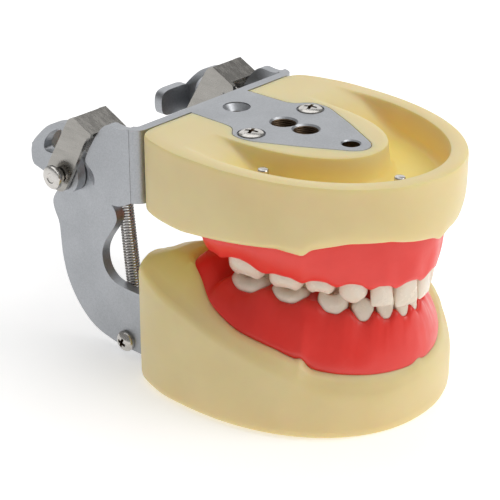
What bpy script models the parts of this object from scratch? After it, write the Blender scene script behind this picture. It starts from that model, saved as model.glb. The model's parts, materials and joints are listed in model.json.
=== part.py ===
"""Child typodont: two plastic jaws with teeth on a sprung metal articulator.

Metres, +Z up. Patient's right is -X, the front of the mouth is -Y.
The flat foot of the lower jaw lies on z = 0, its middle in plan on the origin.
The hinge axis is parallel to X.
"""
import math

import bmesh
import bpy
from mathutils import Vector

MM = 0.001
GAP = 0.3                     # clearance between touching pieces, mm
HEIGHT = 60.5                 # foot of the lower jaw to the top of the upper jaw
HINGE_Y = 42.6                # measured from the drafting line x = 0, y = 0
CENTRE_Y = 3.0                # the finished model is centred on this y
HINGE_Z = 43.8

# plastic bases: (half width, front y, widest y, roundness)
LOWER_OUTLINE = (33.6, -44.2, -2.0, 2.15)
UPPER_OUTLINE = (30.4, -47.8, -5.0, 2.05)
LOWER_ARCH = (23.2, -40.2, -2.0, 1.77)
UPPER_ARCH = (25.2, -42.8, -3.0, 1.91)
LOWER_TONGUE = (11.6, -30.0, -2.0, 2.0)
UPPER_TONGUE = (12.4, -32.0, -3.0, 2.0)
BACK_Y = 17.3                 # flat rear face of both bases
FRONT_STEPS = 13              # stations from the midline to the widest point
TROUGH_DEPTH = 7.0
TROUGH_WALL = 4.1

# mounting plates, sheet frames
SHEET = 2.5
PLATE_T = 2.4
BACKPLATE_Y = 17.6
EAR_OUT = 27.2                # outer face of the ears of the upper frame
ARM_OUT = 24.4                # outer face of the arms of the lower frame
BEND_R = 3.4
BOLT_R = 2.85
TIP_HOLE_R = 2.0
REAR_HOLE_R = 1.9
PLATE_HOLES = ((-2.2, BOLT_R), (-8.8, BOLT_R), (-21.7, TIP_HOLE_R), (12.2, REAR_HOLE_R))
BOLT_ROOM = 9.6               # depth of the clearance holes behind the plate holes
PLATE_SCREW_X = 10.2
PLATE_SCREW_Y = -1.5
SCREW_HEAD_R = 2.9
SCREW_SHANK_R = 1.5
ROD_Y = 25.9
ROD_Z = 4.0
ROD_R = 1.6
PIN_R = 1.3
PIN_HEAD_R = 2.9

# latch clips of 1 mm steel sheet
CLIP_T = 1.0
CLIP_OUT = 28.5
CLIP_IN = 18.2
LUG_Y = 31.2
LUG_Z = 54.2
SPRING_X = 20.0
SPRING_R = 1.42               # mean radius of the coil
WIRE_R = 0.32
SPRING_TURNS = 17
TURN_STEPS = 7                # straight pieces in one coil of the spring

# teeth: (name, middle along the arch, width along it, depth across it, crown height, cusps)
UPPER_TEETH = (
    ("central_incisor", 3.6, 6.7, 4.4, 6.4, 0),
    ("lateral_incisor", 10.2, 5.5, 4.2, 5.3, 0),
    ("canine", 16.9, 6.9, 5.4, 5.4, 1),
    ("first_primary_molar", 24.6, 7.4, 7.8, 3.9, 3),
    ("second_primary_molar", 32.9, 8.6, 9.0, 4.2, 4),
    ("first_molar", 43.3, 10.3, 10.0, 5.3, 4),
)
LOWER_TEETH = (
    ("central_incisor", 2.25, 3.9, 3.4, 4.3, 0),
    ("lateral_incisor", 6.75, 4.1, 3.6, 4.5, 0),
    ("canine", 12.0, 5.4, 4.6, 4.8, 1),
    ("first_primary_molar", 19.0, 7.6, 6.4, 4.5, 3),
    ("second_primary_molar", 29.4, 9.4, 8.2, 3.1, 4),
    ("first_molar", 39.8, 10.4, 9.4, 3.3, 4),
)
TOOTH_SEGMENTS = 12
INNER_TAPER = 0.07            # narrowing of a crown from its outer to its inner side
CUSP_RELIEF = 0.5             # depth of the dips between cusps
ROOT_DEPTH = 3.6

ROUND = 16                    # segments of small turned parts


# ---------------------------------------------------------------- materials

def material(name, colour, metallic, roughness):
    mat = bpy.data.materials.new(name)
    mat.use_nodes = True
    shader = mat.node_tree.nodes["Principled BSDF"]
    shader.inputs["Base Color"].default_value = (*colour, 1.0)
    shader.inputs["Metallic"].default_value = metallic
    shader.inputs["Roughness"].default_value = roughness
    mat.diffuse_color = (*colour, 1.0)
    return mat


# ------------------------------------------------------------ mesh helpers

def finish(name, bm, mat, smooth=False):
    """Turn a mesh in millimetres into a named object in metres."""
    bmesh.ops.remove_doubles(bm, verts=bm.verts, dist=0.0005)
    bmesh.ops.recalc_face_normals(bm, faces=bm.faces)
    bmesh.ops.scale(bm, vec=(MM, MM, MM), verts=bm.verts)
    mesh = bpy.data.meshes.new(name)
    bm.to_mesh(mesh)
    bm.free()
    obj = bpy.data.objects.new(name, mesh)
    bpy.context.collection.objects.link(obj)
    obj.data.materials.append(mat)
    if smooth:
        for poly in mesh.polygons:
            poly.use_smooth = True
    return obj


def loft(bm, rings, closed_ring=True, loop=False):
    """Skin a list of rings of equal length; cap the two ends unless looped."""
    verts = [[bm.verts.new(p) for p in ring] for ring in rings]
    count = len(verts[0])
    pairs = list(zip(verts, verts[1:]))
    if loop:
        pairs.append((verts[-1], verts[0]))
    last = count if closed_ring else count - 1
    for low, high in pairs:
        for i in range(last):
            j = (i + 1) % count
            bm.faces.new((low[i], low[j], high[j], high[i]))
    if not loop:
        bm.faces.new(list(reversed(verts[0])))
        bm.faces.new(verts[-1])
    return bm


def plate(outline, place, low, high):
    """A flat plate: an outline swept from low to high by place(a, b, t)."""
    bm = bmesh.new()
    rings = [[place(a, b, t) for a, b in outline] for t in (low, high)]
    return loft(bm, rings)


def on_x(a, b, t):
    return (t, a, b)


def on_z(a, b, t):
    return (a, b, t)


def circle(cx, cy, r, count=ROUND, start=0.0):
    return [(cx + r * math.cos(start + 2 * math.pi * i / count),
             cy + r * math.sin(start + 2 * math.pi * i / count))
            for i in range(count)]


def turned(axis_place, cx, cy, steps, count=ROUND):
    """A turned part: steps are (radius, position along the axis)."""
    bm = bmesh.new()
    rings = [[axis_place(a, b, t) for a, b in circle(cx, cy, r, count)]
             for r, t in steps]
    return loft(bm, rings)


def boolean(target, tools, operation):
    """Apply exact booleans in order and remove the tool objects."""
    for tool in tools:
        mod = target.modifiers.new("cut", "BOOLEAN")
        mod.operation = operation
        mod.solver = "EXACT"
        mod.object = tool
        graph = bpy.context.evaluated_depsgraph_get()
        mesh = bpy.data.meshes.new_from_object(target.evaluated_get(graph))
        target.modifiers.clear()
        old = target.data
        target.data = mesh
        bpy.data.meshes.remove(old)
        bpy.data.objects.remove(tool)


def tidy(obj):
    """Clear slivers left by the booleans."""
    bm = bmesh.new()
    bm.from_mesh(obj.data)
    bmesh.ops.remove_doubles(bm, verts=bm.verts, dist=0.00002)
    bmesh.ops.dissolve_degenerate(bm, dist=0.00001, edges=bm.edges)
    bmesh.ops.dissolve_limit(bm, angle_limit=math.radians(0.3), verts=bm.verts, edges=bm.edges)
    bmesh.ops.triangulate(bm, faces=bm.faces)
    bm.to_mesh(obj.data)
    bm.free()


# ------------------------------------------------------------ jaw outlines

def power(value, exponent):
    return math.copysign(abs(value) ** exponent, value)


def half_curve(shape, corner, flat_x):
    """Half of a jaw outline from the midline in front to the midline behind."""
    width, front, widest, roundness = shape
    pts = []
    for i in range(FRONT_STEPS + 1):
        angle = 0.5 * math.pi * i / FRONT_STEPS
        x = width * power(math.sin(angle), 2.0 / roundness)
        y = widest - (widest - front) * power(math.cos(angle), 2.0 / roundness)
        pts.append((x, y))
    back = corner
    run = back - widest
    pts.append((width * 0.995, widest + 0.35 * run))
    pts.append((width * 0.965, widest + 0.60 * run))
    pts.append((width * 0.92, widest + 0.82 * run))
    pts.append((width * 0.86, widest + 0.95 * run))
    pts.append((flat_x, back))
    pts.append((flat_x * 0.62, back))
    pts.append((flat_x * 0.30, back))
    pts.append((0.0, back))
    return pts


def full_curve(half):
    """Mirror the half outline; the ring starts at the front midline."""
    mirrored = [(-x, y) for x, y in reversed(half[1:-1])]
    return half + mirrored


def blend_point(a, b, t):
    return (a[0] + (b[0] - a[0]) * t, a[1] + (b[1] - a[1]) * t)


def interpolate(table, value):
    """Piecewise linear table of (key, value) pairs sorted by key."""
    if value <= table[0][0]:
        return table[0][1]
    for (k0, v0), (k1, v1) in zip(table, table[1:]):
        if value <= k1:
            return v0 + (v1 - v0) * (value - k0) / (k1 - k0)
    return table[-1][1]


class Jaw:
    """Shared curves of one jaw. Heights h are measured from its flat foot."""

    def __init__(self, outline, arch, tongue, lip, seat, floor, up):
        self.outer = full_curve(half_curve(outline, BACK_Y, outline[0] * 0.74))
        self.arch = full_curve(half_curve(arch, BACK_Y - 3.0, arch[0] * 0.80))
        self.tongue = full_curve(half_curve(tongue, BACK_Y - 6.0, tongue[0] * 0.80))
        self.lip = lip
        self.seat = seat
        self.floor = floor
        self.up = up
        self.arch_shape = arch

    def z(self, h):
        return h if self.up else HEIGHT - h

    def at(self, i, u):
        """Plan point of station i; u 0 outer wall, 1 tooth line, 2 tongue line."""
        i = i % len(self.outer)
        if u <= 1.0:
            return blend_point(self.outer[i], self.arch[i], u)
        return blend_point(self.arch[i], self.tongue[i], u - 1.0)

    def station_key(self, i):
        """Front-to-back position used by the height tables."""
        x, y = self.outer[i % len(self.outer)]
        if y >= BACK_Y - 0.01:
            return BACK_Y + (1.0 - abs(x) / 30.0) * 10.0
        return y

    def lip_h(self, i):
        return interpolate(self.lip, self.station_key(i))

    def seat_h(self, i):
        return interpolate(self.seat, self.station_key(i))

    def point(self, i, u, h):
        x, y = self.at(i, u)
        return (x, y, self.z(h))


# lip: height of the outer wall; seat: height of the ridge under the gum
LOWER_LIP = ((-44.2, 11.6), (-41.5, 11.4), (-35.7, 13.0), (-30.2, 15.8), (-27.3, 17.8),
             (-16.8, 21.0), (-3.1, 25.5), (6.0, 28.3), (13.0, 30.6), (17.3, 30.6), (22.0, 22.0),
             (27.0, 15.0))
LOWER_SEAT = ((-44.2, 15.5), (-35.0, 17.0), (-16.0, 21.0), (-6.0, 23.6), (-1.8, 25.4),
              (4.8, 34.6), (9.6, 34.4), (14.0, 33.0), (17.3, 31.0), (22.0, 21.8), (27.0, 15.0))
UPPER_LIP = ((-47.8, 14.2), (-44.0, 12.8), (-38.0, 12.9), (-31.0, 16.4), (-28.0, 16.6),
             (-24.0, 15.8), (-12.0, 17.0), (2.0, 18.4), (10.0, 18.0), (17.3, 17.2), (22.0, 16.0),
             (27.0, 13.0))
UPPER_SEAT = ((-47.8, 17.5), (-38.0, 17.0), (-12.0, 17.6), (2.0, 18.6), (10.0, 18.0),
              (17.3, 17.2), (22.0, 16.0), (27.0, 13.0))


def base_solid(name, jaw, mat):
    """Solid plastic base: flat foot, outer wall, shelf, ridge and tongue floor."""
    count = len(jaw.outer)
    levels = []
    levels.append([jaw.point(i, 0.035, 0.0) for i in range(count)])
    levels.append([jaw.point(i, 0.0, 0.7) for i in range(count)])
    levels.append([jaw.point(i, 0.0, jaw.lip_h(i) - 3.6) for i in range(count)])
    levels.append([jaw.point(i, 0.07, jaw.lip_h(i) - 1.0) for i in range(count)])
    levels.append([jaw.point(i, 0.16, jaw.lip_h(i)) for i in range(count)])
    levels.append([jaw.point(i, 0.30, shelf_h(jaw, i)) for i in range(count)])
    levels.append([jaw.point(i, 0.75, jaw.seat_h(i)) for i in range(count)])
    levels.append([jaw.point(i, 1.55, jaw.seat_h(i)) for i in range(count)])
    levels.append([jaw.point(i, 2.0, jaw.floor) for i in range(count)])
    bm = bmesh.new()
    loft(bm, levels)
    return finish(name, bm, mat)


def shelf_h(jaw, i):
    lip = jaw.lip_h(i)
    return lip + 0.30 * (jaw.seat_h(i) - lip)


def gum_solid(name, jaw, mat, first, last, crest, edge_u):
    """Soft gum on the ridge, from station -last round the front to +last."""
    rings = []
    for i in range(-last, last + 1):
        seat = jaw.seat_h(i)
        low = shelf_h(jaw, i)
        top = interpolate(crest, jaw.station_key(i))
        ring = [
            jaw.point(i, edge_u, low + (seat - low) * (edge_u - 0.30) / 0.45 + GAP + 0.1),
            jaw.point(i, edge_u - 0.02, low + (seat - low) * (edge_u - 0.30) / 0.45 + 1.3),
            jaw.point(i, 0.52, seat + 0.42 * (top - seat)),
            jaw.point(i, 0.62, seat + 0.68 * (top - seat)),
            jaw.point(i, 0.74, seat + 0.90 * (top - seat)),
            jaw.point(i, 0.88, top),
            jaw.point(i, 1.0 + first, top),
            jaw.point(i, 1.12 + first, seat + 0.80 * (top - seat)),
            jaw.point(i, 1.22 + first, seat + 0.40 * (top - seat)),
            jaw.point(i, 1.50, seat + GAP + 0.9),
            jaw.point(i, 1.50, seat + GAP + 0.05),
            jaw.point(i, 0.76, seat + GAP + 0.05),
        ]
        rings.append(ring)
    bm = bmesh.new()
    loft(bm, rings)
    return finish(name, bm, mat, smooth=True)


# ------------------------------------------------------------------- teeth

def arch_walk(jaw):
    """Dense half tooth line with its running length."""
    width, front, widest, roundness = jaw.arch_shape
    pts = []
    steps = 400
    for i in range(steps + 1):
        angle = 0.5 * math.pi * i / steps
        x = width * power(math.sin(angle), 2.0 / roundness)
        y = widest - (widest - front) * power(math.cos(angle), 2.0 / roundness)
        pts.append((x, y))
    pts.append((width * 0.995, widest + 8.0))
    walk = [(0.0, pts[0])]
    for a, b in zip(pts, pts[1:]):
        walk.append((walk[-1][0] + math.dist(a, b), b))
    return walk


def arch_point(walk, length):
    for (s0, p0), (s1, p1) in zip(walk, walk[1:]):
        if length <= s1:
            return blend_point(p0, p1, (length - s0) / max(s1 - s0, 1e-9))
    return walk[-1][1]


def tooth_frame(walk, start, width, side):
    """Middle of the tooth on the tooth line, its run direction and its inward one."""
    a = arch_point(walk, start)
    b = arch_point(walk, start + width)
    mid = blend_point(a, b, 0.5)
    run = Vector((b[0] - a[0], b[1] - a[1], 0.0)).normalized()
    inward = Vector((-run.y, run.x, 0.0))
    if inward.dot(Vector((-mid[0], -20.0 - mid[1], 0.0))) < 0:
        inward = -inward
    middle = Vector((mid[0] * side, mid[1], 0.0))
    run.x *= side
    inward.x *= side
    return middle, run, inward


def oval(run, inward, centre, half_w, half_d, square, count):
    """Rounded section, narrower on the inner side where the arch closes up."""
    pts = []
    for k in range(count):
        angle = 2 * math.pi * k / count
        c = power(math.cos(angle), square)
        s = power(math.sin(angle), square)
        narrow = 1.0 - INNER_TAPER * (s + 1.0)
        pts.append(centre + run * (half_w * c * narrow) + inward * (half_d * s))
    return pts


def crown_levels(width, depth, height, cusps):
    """Crown sections: (height, half width, half depth, inward shift)."""
    w = 0.5 * width
    d = 0.5 * depth
    if cusps == 0:
        return ((0.35, 0.70 * w, 0.74 * d, 0.0), (0.30 * height, 0.88 * w, 0.84 * d, 0.0),
                (0.62 * height, 0.985 * w, 0.60 * d, -0.20 * d), (0.92 * height, 0.96 * w, 0.34 * d, -0.42 * d),
                (height, 0.86 * w, 0.20 * d, -0.48 * d))
    if cusps == 1:
        return ((0.35, 0.70 * w, 0.74 * d, 0.0), (0.30 * height, 0.90 * w, 0.88 * d, 0.0),
                (0.58 * height, 0.985 * w, 0.74 * d, -0.10 * d), (0.84 * height, 0.62 * w, 0.42 * d, -0.26 * d),
                (height, 0.20 * w, 0.16 * d, -0.34 * d))
    return ((0.35, 0.80 * w, 0.82 * d, 0.0), (0.36 * height, 0.98 * w, 0.98 * d, 0.0),
            (0.72 * height, 0.95 * w, 0.86 * d, 0.0), (0.96 * height, 0.78 * w, 0.62 * d, 0.0))


def tooth_rings(jaw, spec, frame, neck_h, extra):
    """Sections of root and crown; extra swells them into a socket cutter."""
    _, _, width, depth, height, cusps = spec
    middle, run, inward = frame
    centre = middle + inward * (0.5 * depth)
    square = 0.72 if cusps > 1 else 0.86
    count = TOOTH_SEGMENTS
    levels = [(-ROOT_DEPTH - extra, 0.25 * width, 0.25 * depth, 0.0),
              (0.6 - ROOT_DEPTH, 0.31 * width, 0.31 * depth, 0.0),
              (-0.1, 0.33 * width, 0.33 * depth, 0.0)]
    levels += crown_levels(width, depth, height, cusps)
    rings = []
    for level, half_w, half_d, shift in levels:
        ring = oval(run, inward, centre + inward * shift, half_w + extra, half_d + extra, square, count)
        rings.append([Vector((p.x, p.y, jaw.z(neck_h + level))) for p in ring])
    sign = 1.0 if jaw.up else -1.0
    if extra > 0.0:
        for p in rings[-1]:
            p.z += sign * 2.0
    elif cusps > 1:
        for k, p in enumerate(rings[-1]):
            p.z -= sign * CUSP_RELIEF * (0.5 + 0.5 * math.cos(4.0 * math.pi * k / count))
        pit = oval(run, inward, centre, 0.30 * width, 0.24 * depth, 1.0, count)
        rings.append([Vector((p.x, p.y, jaw.z(neck_h + 0.80 * height))) for p in pit])
    return rings


def tooth_solid(name, jaw, walk, spec, side, neck_h, mat):
    """One tooth with its root peg; returns the tooth and its socket cutter."""
    _, along, width, _, _, _ = spec
    frame = tooth_frame(walk, along - 0.5 * width, width, side)
    bm = bmesh.new()
    loft(bm, tooth_rings(jaw, spec, frame, neck_h, 0.0))
    tooth = finish(name, bm, mat, smooth=True)
    bm = bmesh.new()
    loft(bm, tooth_rings(jaw, spec, frame, neck_h, GAP + 0.05))
    return tooth, finish(name + "_cutter", bm, mat)


def tooth_row(jaw, prefix, specs, necks, mat):
    walk = arch_walk(jaw)
    cutters = []
    teeth = []
    for side, side_name in ((-1.0, "right"), (1.0, "left")):
        for spec, neck in zip(specs, necks):
            name = prefix + "_" + side_name + "_" + spec[0]
            tooth, cutter = tooth_solid(name, jaw, walk, spec, side, neck, mat)
            teeth.append(tooth)
            cutters.append(cutter)
    return teeth, cutters


# ------------------------------------------------- troughs, recesses, plates

TROUGH_STATIONS = 13
TROUGH_FADE = 11              # station where the floor starts to rise


def trough_cutter(name, jaw, mat):
    """Horseshoe trough round the island, shallower towards its rear ends."""
    rings = []
    widest = jaw.outer[FRONT_STEPS][1]
    island = (15.6, -28.6, widest + 4.0, 1.75)
    inner = half_curve(island, BACK_Y, 11.0)
    for i in range(-TROUGH_STATIONS, TROUGH_STATIONS + 1):
        side = 1.0 if i >= 0 else -1.0
        k = abs(i)
        ox, oy = jaw.outer[k]
        ix, iy = inner[k]
        length = math.hypot(ox - ix, oy - iy)
        nx = (ix - ox) / length
        ny = (iy - oy) / length
        a = (ox + nx * TROUGH_WALL, oy + ny * TROUGH_WALL)
        rise = 1.0 - max(0, k - TROUGH_FADE) / (TROUGH_STATIONS - TROUGH_FADE + 0.0)
        depth = 0.8 + (TROUGH_DEPTH - 0.8) * rise
        pinch = 0.9 * max(0, k - TROUGH_FADE)
        b = (a[0] + nx * (1.2 + pinch), a[1] + ny * (1.2 + pinch))
        c = (ix - nx * (0.9 + 0.6 * pinch), iy - ny * (0.9 + 0.6 * pinch))
        d = (ix - nx * 0.4 * pinch, iy - ny * 0.4 * pinch)
        a = (a[0] + nx * pinch, a[1] + ny * pinch)
        ring = [(a[0] * side, a[1], jaw.z(-1.0)), (a[0] * side, a[1], jaw.z(0.35 * depth)),
                (b[0] * side, b[1], jaw.z(depth)), (c[0] * side, c[1], jaw.z(depth)),
                (d[0] * side, d[1], jaw.z(0.35 * depth)), (d[0] * side, d[1], jaw.z(-1.0))]
        rings.append(ring)
    bm = bmesh.new()
    loft(bm, rings)
    return finish(name, bm, mat)


def plate_outline(grow):
    """Arrow-shaped mounting plate, seen from its flat face."""
    half = [(9.6, BACK_Y + 2.0), (9.9, 5.6), (10.6, 3.6), (13.4, 1.4), (14.0, -0.6), (13.9, -4.0),
            (9.1, -14.0), (3.4, -24.4), (1.9, -26.0), (0.0, -26.5)]
    right = [(x + grow, y) for x, y in half[:6]]
    tip = [(x + grow * 0.8, y - grow * 0.5) for x, y in half[6:-1]]
    nose = [(0.0, half[-1][1] - grow)]
    side = right + tip
    return side + nose + [(-x, y) for x, y in reversed(side)]


def screw_hole(x, y, jaw, mat):
    steps = ((SCREW_SHANK_R + GAP, jaw.z(1.0)), (SCREW_SHANK_R + GAP, jaw.z(9.6)))
    return finish("hole", turned(on_z, x, y, steps, 16), mat)


def cut_base(base, jaw, mat):
    tools = [trough_cutter("trough", jaw, mat)]
    bm = plate(plate_outline(GAP), on_z, jaw.z(-1.0), jaw.z(PLATE_T + GAP))
    tools.append(finish("recess", bm, mat))
    for side in (-1.0, 1.0):
        tools.append(screw_hole(side * PLATE_SCREW_X, PLATE_SCREW_Y, jaw, mat))
    for y, r in PLATE_HOLES:
        steps = ((r + GAP, jaw.z(1.0)), (r + GAP, jaw.z(BOLT_ROOM)))
        tools.append(finish("bolt_room", turned(on_z, 0.0, y, steps, 16), mat))
    boolean(base, tools, "DIFFERENCE")


def bent_strip(outer_x, low, high):
    """Back plate with its two bends, swept up from low to high."""
    centre = BEND_R
    face = BACKPLATE_Y
    outer = []
    inner = []
    steps = 6
    for side in (-1.0, 1.0):
        arc_out = []
        arc_in = []
        for k in range(steps + 1):
            angle = 0.5 * math.pi * k / steps
            cx = outer_x - centre
            cy = face + centre
            arc_out.append((side * (cx + centre * math.cos(angle)), cy - centre * math.sin(angle)))
            arc_in.append((side * (cx + (centre - SHEET) * math.cos(angle)),
                           cy - (centre - SHEET) * math.sin(angle)))
        if side < 0:
            outer += arc_out
            inner += arc_in
        else:
            outer += list(reversed(arc_out))
            inner += list(reversed(arc_in))
    outline = outer + list(reversed(inner))
    return plate(outline, on_z, low, high)


def mounting_plate(jaw, name, mat):
    """Plate in the recess, joined to the back plate."""
    bm = plate(plate_outline(0.0), on_z, jaw.z(0.0), jaw.z(PLATE_T))
    return finish(name, bm, mat)


def plate_holes(jaw, mat):
    """Bolt holes, tip hole, countersunk rear hole and the two screw holes."""
    tools = []
    for y, r in PLATE_HOLES[:3]:
        steps = ((r + 0.4, jaw.z(-0.5)), (r + 0.4, jaw.z(0.0)), (r, jaw.z(0.45)), (r, jaw.z(PLATE_T + 1.0)))
        tools.append(finish("hole", turned(on_z, 0.0, y, steps), mat))
    for x, y, r in ((0.0, PLATE_HOLES[3][0], REAR_HOLE_R), (-PLATE_SCREW_X, PLATE_SCREW_Y, SCREW_SHANK_R + GAP),
                    (PLATE_SCREW_X, PLATE_SCREW_Y, SCREW_SHANK_R + GAP)):
        wide = SCREW_HEAD_R + 0.35
        steps = ((wide, jaw.z(-0.5)), (wide, jaw.z(0.35)), (r, jaw.z(1.75)), (r, jaw.z(PLATE_T + 1.0)))
        tools.append(finish("hole", turned(on_z, x, y, steps), mat))
    return tools


EAR = ((20.2, 60.5), (22.5, 59.8), (24.5, 59.9), (26.7, 60.2), (28.6, 59.1), (30.6, 56.8),
       (33.6, 52.2), (35.3, 48.9), (33.1, 47.5), (31.9, 45.7), (32.0, 43.8), (33.0, 42.4),
       (31.0, 41.2), (28.8, 40.5), (26.3, 40.3), (23.6, 40.7), (20.2, 42.6))
ARM = ((20.6, 1.9), (28.2, 1.9), (35.1, 3.2), (38.6, 4.8), (42.0, 7.8), (44.6, 11.3), (46.4, 15.0),
       (47.6, 20.0), (48.0, 25.2), (48.2, 28.6), (49.7, 31.2), (50.3, 33.6), (49.4, 35.6),
       (47.9, 37.4), (47.9, 43.0), (46.6, 46.6), (43.6, 48.7), (40.4, 48.4), (37.8, 46.2),
       (36.2, 42.6), (33.6, 40.2), (30.8, 39.3), (28.8, 38.0), (27.9, 35.9), (28.2, 34.2),
       (29.8, 31.9), (32.0, 28.9), (33.2, 26.4), (33.5, 24.3), (33.1, 21.8), (31.8, 19.8),
       (29.6, 18.4), (26.0, 17.9), (20.6, 17.9))


def upper_frame(jaw, mat):
    frame = mounting_plate(jaw, "upper_frame", mat)
    parts = [finish("strip", bent_strip(EAR_OUT, 42.6, HEIGHT), mat)]
    for side in (-1.0, 1.0):
        bm = plate(EAR, on_x, side * (EAR_OUT - SHEET), side * EAR_OUT)
        parts.append(finish("ear", bm, mat))
    boolean(frame, parts, "UNION")
    boolean(frame, plate_holes(jaw, mat), "DIFFERENCE")
    tidy(frame)
    return frame


def lower_frame(jaw, mat):
    frame = mounting_plate(jaw, "lower_frame", mat)
    parts = [finish("strip", bent_strip(ARM_OUT, 0.0, 17.9), mat)]
    for side in (-1.0, 1.0):
        bm = plate(ARM, on_x, side * (ARM_OUT - SHEET), side * ARM_OUT)
        parts.append(finish("arm", bm, mat))
    boolean(frame, parts, "UNION")
    tools = plate_holes(jaw, mat)
    for side in (-1.0, 1.0):
        for y, z, r in ((ROD_Y, ROD_Z, 1.1 + GAP), (HINGE_Y, HINGE_Z, PIN_R + GAP)):
            steps = ((r, side * (ARM_OUT - SHEET - 1.0)), (r, side * (ARM_OUT + 1.0)))
            tools.append(finish("hole", turned(on_x, y, z, steps, 20), mat))
    boolean(frame, tools, "DIFFERENCE")
    tidy(frame)
    return frame


# ------------------------------------------------------------------ screws

def cross_cutters(place, cx, cy, top, direction, mat):
    """Two crossed wedges for a cross recess, cut down from the top of the head."""
    tools = []
    for quarter in (0.0, 0.5 * math.pi):
        bm = bmesh.new()
        rings = []
        for reach, half, t in ((1.55, 0.32, top + direction * 0.5), (1.45, 0.32, top - direction * 0.1),
                               (0.45, 0.22, top - direction * 1.0)):
            ring = []
            for a, b in ((-reach, -half), (reach, -half), (reach, half), (-reach, half)):
                x = a * math.cos(quarter) - b * math.sin(quarter)
                y = a * math.sin(quarter) + b * math.cos(quarter)
                ring.append(place(cx + x, cy + y, t))
            rings.append(ring)
        loft(bm, rings)
        tools.append(finish("cross", bm, mat))
    return tools


def plate_screw(name, x, jaw, mat):
    """Oval-head countersunk screw of the mounting plate."""
    s = -1.0
    steps = ((1.3, 0.95 * s), (2.3, 0.72 * s), (SCREW_HEAD_R, 0.25 * s), (SCREW_HEAD_R, -0.02 * s),
             (SCREW_SHANK_R, 1.45), (SCREW_SHANK_R, 8.6), (0.8, 9.2))
    screw = finish(name, turned(on_z, x, PLATE_SCREW_Y, [(r, jaw.z(h)) for r, h in steps]), mat)
    up = -1.0 if jaw.up else 1.0
    cutters = cross_cutters(on_z, x, PLATE_SCREW_Y, jaw.z(-0.95), up, mat)
    boolean(screw, cutters, "DIFFERENCE")
    tidy(screw)
    return screw


def sunk_plate_screw(name, x, jaw, mat):
    """Flush countersunk screw of the lower mounting plate."""
    steps = ((SCREW_HEAD_R, 0.15), (SCREW_HEAD_R, 0.35), (SCREW_SHANK_R, 1.78),
             (SCREW_SHANK_R, 8.6), (0.8, 9.2))
    screw = finish(name, turned(on_z, x, PLATE_SCREW_Y, [(r, jaw.z(h)) for r, h in steps]), mat)
    cutters = cross_cutters(on_z, x, PLATE_SCREW_Y, jaw.z(0.15), -1.0, mat)
    boolean(screw, cutters, "DIFFERENCE")
    tidy(screw)
    return screw


def rod_screw(name, side, mat):
    """Pan-head screw through the arm into the end of the cross rod."""
    face = ARM_OUT + GAP
    steps = ((1.1, ARM_OUT - SHEET - 3.6), (1.1, face), (2.6, face), (2.6, face + 0.9),
             (2.2, face + 1.5), (1.2, face + 1.8))
    bm = turned(on_x, ROD_Y, ROD_Z, [(r, side * t) for r, t in steps])
    screw = finish(name, bm, mat)
    cutters = cross_cutters(on_x, ROD_Y, ROD_Z, side * (face + 1.8), side, mat)
    boolean(screw, cutters, "DIFFERENCE")
    tidy(screw)
    return screw


def gum_screw(name, x, y, floor, jaw, mat):
    """Small screw end standing on the floor of the trough."""
    steps = ((0.9, 2.0), (1.2, 2.3), (1.2, 3.4), (0.8, 3.5), (0.8, 4.6), (1.6, 4.7), (1.6, floor))
    return finish(name, turned(on_z, x, y, [(r, jaw.z(h)) for r, h in steps], 16), mat)


def cross_rod(mat):
    end = ARM_OUT - SHEET - GAP
    rod = finish("cross_rod", turned(on_x, ROD_Y, ROD_Z, ((1.3, -end), (ROD_R, 0.3 - end),
                                                          (ROD_R, end - 0.3), (1.3, end)), 20), mat)
    tools = []
    for side in (-1.0, 1.0):
        steps = ((1.1 + 0.15, side * (end - 3.8)), (1.1 + 0.15, side * (end + 1.0)))
        tools.append(finish("bore", turned(on_x, ROD_Y, ROD_Z, steps, 20), mat))
    boolean(rod, tools, "DIFFERENCE")
    tidy(rod)
    return rod


def hinge_pin(name, side, mat):
    """Headed pin through the clip, the lever and the arm, riveted inside."""
    steps = ((1.9, CLIP_IN - 1.3), (2.2, CLIP_IN - 1.0), (2.2, CLIP_IN - GAP), (PIN_R, CLIP_IN - GAP),
             (PIN_R, CLIP_OUT + GAP), (1.9, CLIP_OUT + GAP), (1.9, CLIP_OUT + 1.4),
             (PIN_HEAD_R, CLIP_OUT + 1.4), (PIN_HEAD_R, CLIP_OUT + 2.6), (2.5, CLIP_OUT + 3.0))
    bm = turned(on_x, HINGE_Y, HINGE_Z, [(r, side * t) for r, t in steps])
    return finish(name, bm, mat, smooth=False)


# ------------------------------------------------------------------ latches

CHEEK = ((31.2, 56.8), (36.9, 59.6), (38.6, 58.9), (39.8, 57.0), (44.3, 49.4), (46.9, 45.0),
         (47.2, 42.6), (45.8, 40.2), (43.4, 39.2), (41.0, 40.0), (36.4, 48.6), (33.4, 54.6))
NOSE = ((30.0, 56.2), (30.0, 52.8), (32.4, 52.6), (33.4, 54.6), (36.0, 58.0), (31.2, 56.8))
WEB = ((31.2, 56.8), (36.9, 59.6), (37.3, 58.6), (31.6, 55.8))
LEVER = ((37.7, 45.6), (37.7, 42.4), (39.2, 40.0), (41.6, 38.8), (44.4, 39.1), (46.6, 40.7),
         (48.6, 42.2), (51.3, 42.8), (53.8, 43.4), (53.8, 48.4), (50.4, 52.0), (47.6, 54.5),
         (44.7, 56.0), (41.5, 56.8), (39.8, 56.2), (39.2, 53.0), (39.0, 49.4))
WINDOW = ((49.2, 47.8), (49.0, 50.4), (46.8, 53.0), (43.2, 55.0), (42.4, 54.6), (43.6, 51.0),
          (45.4, 47.8))
FLANGE_IN = 14.5


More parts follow.
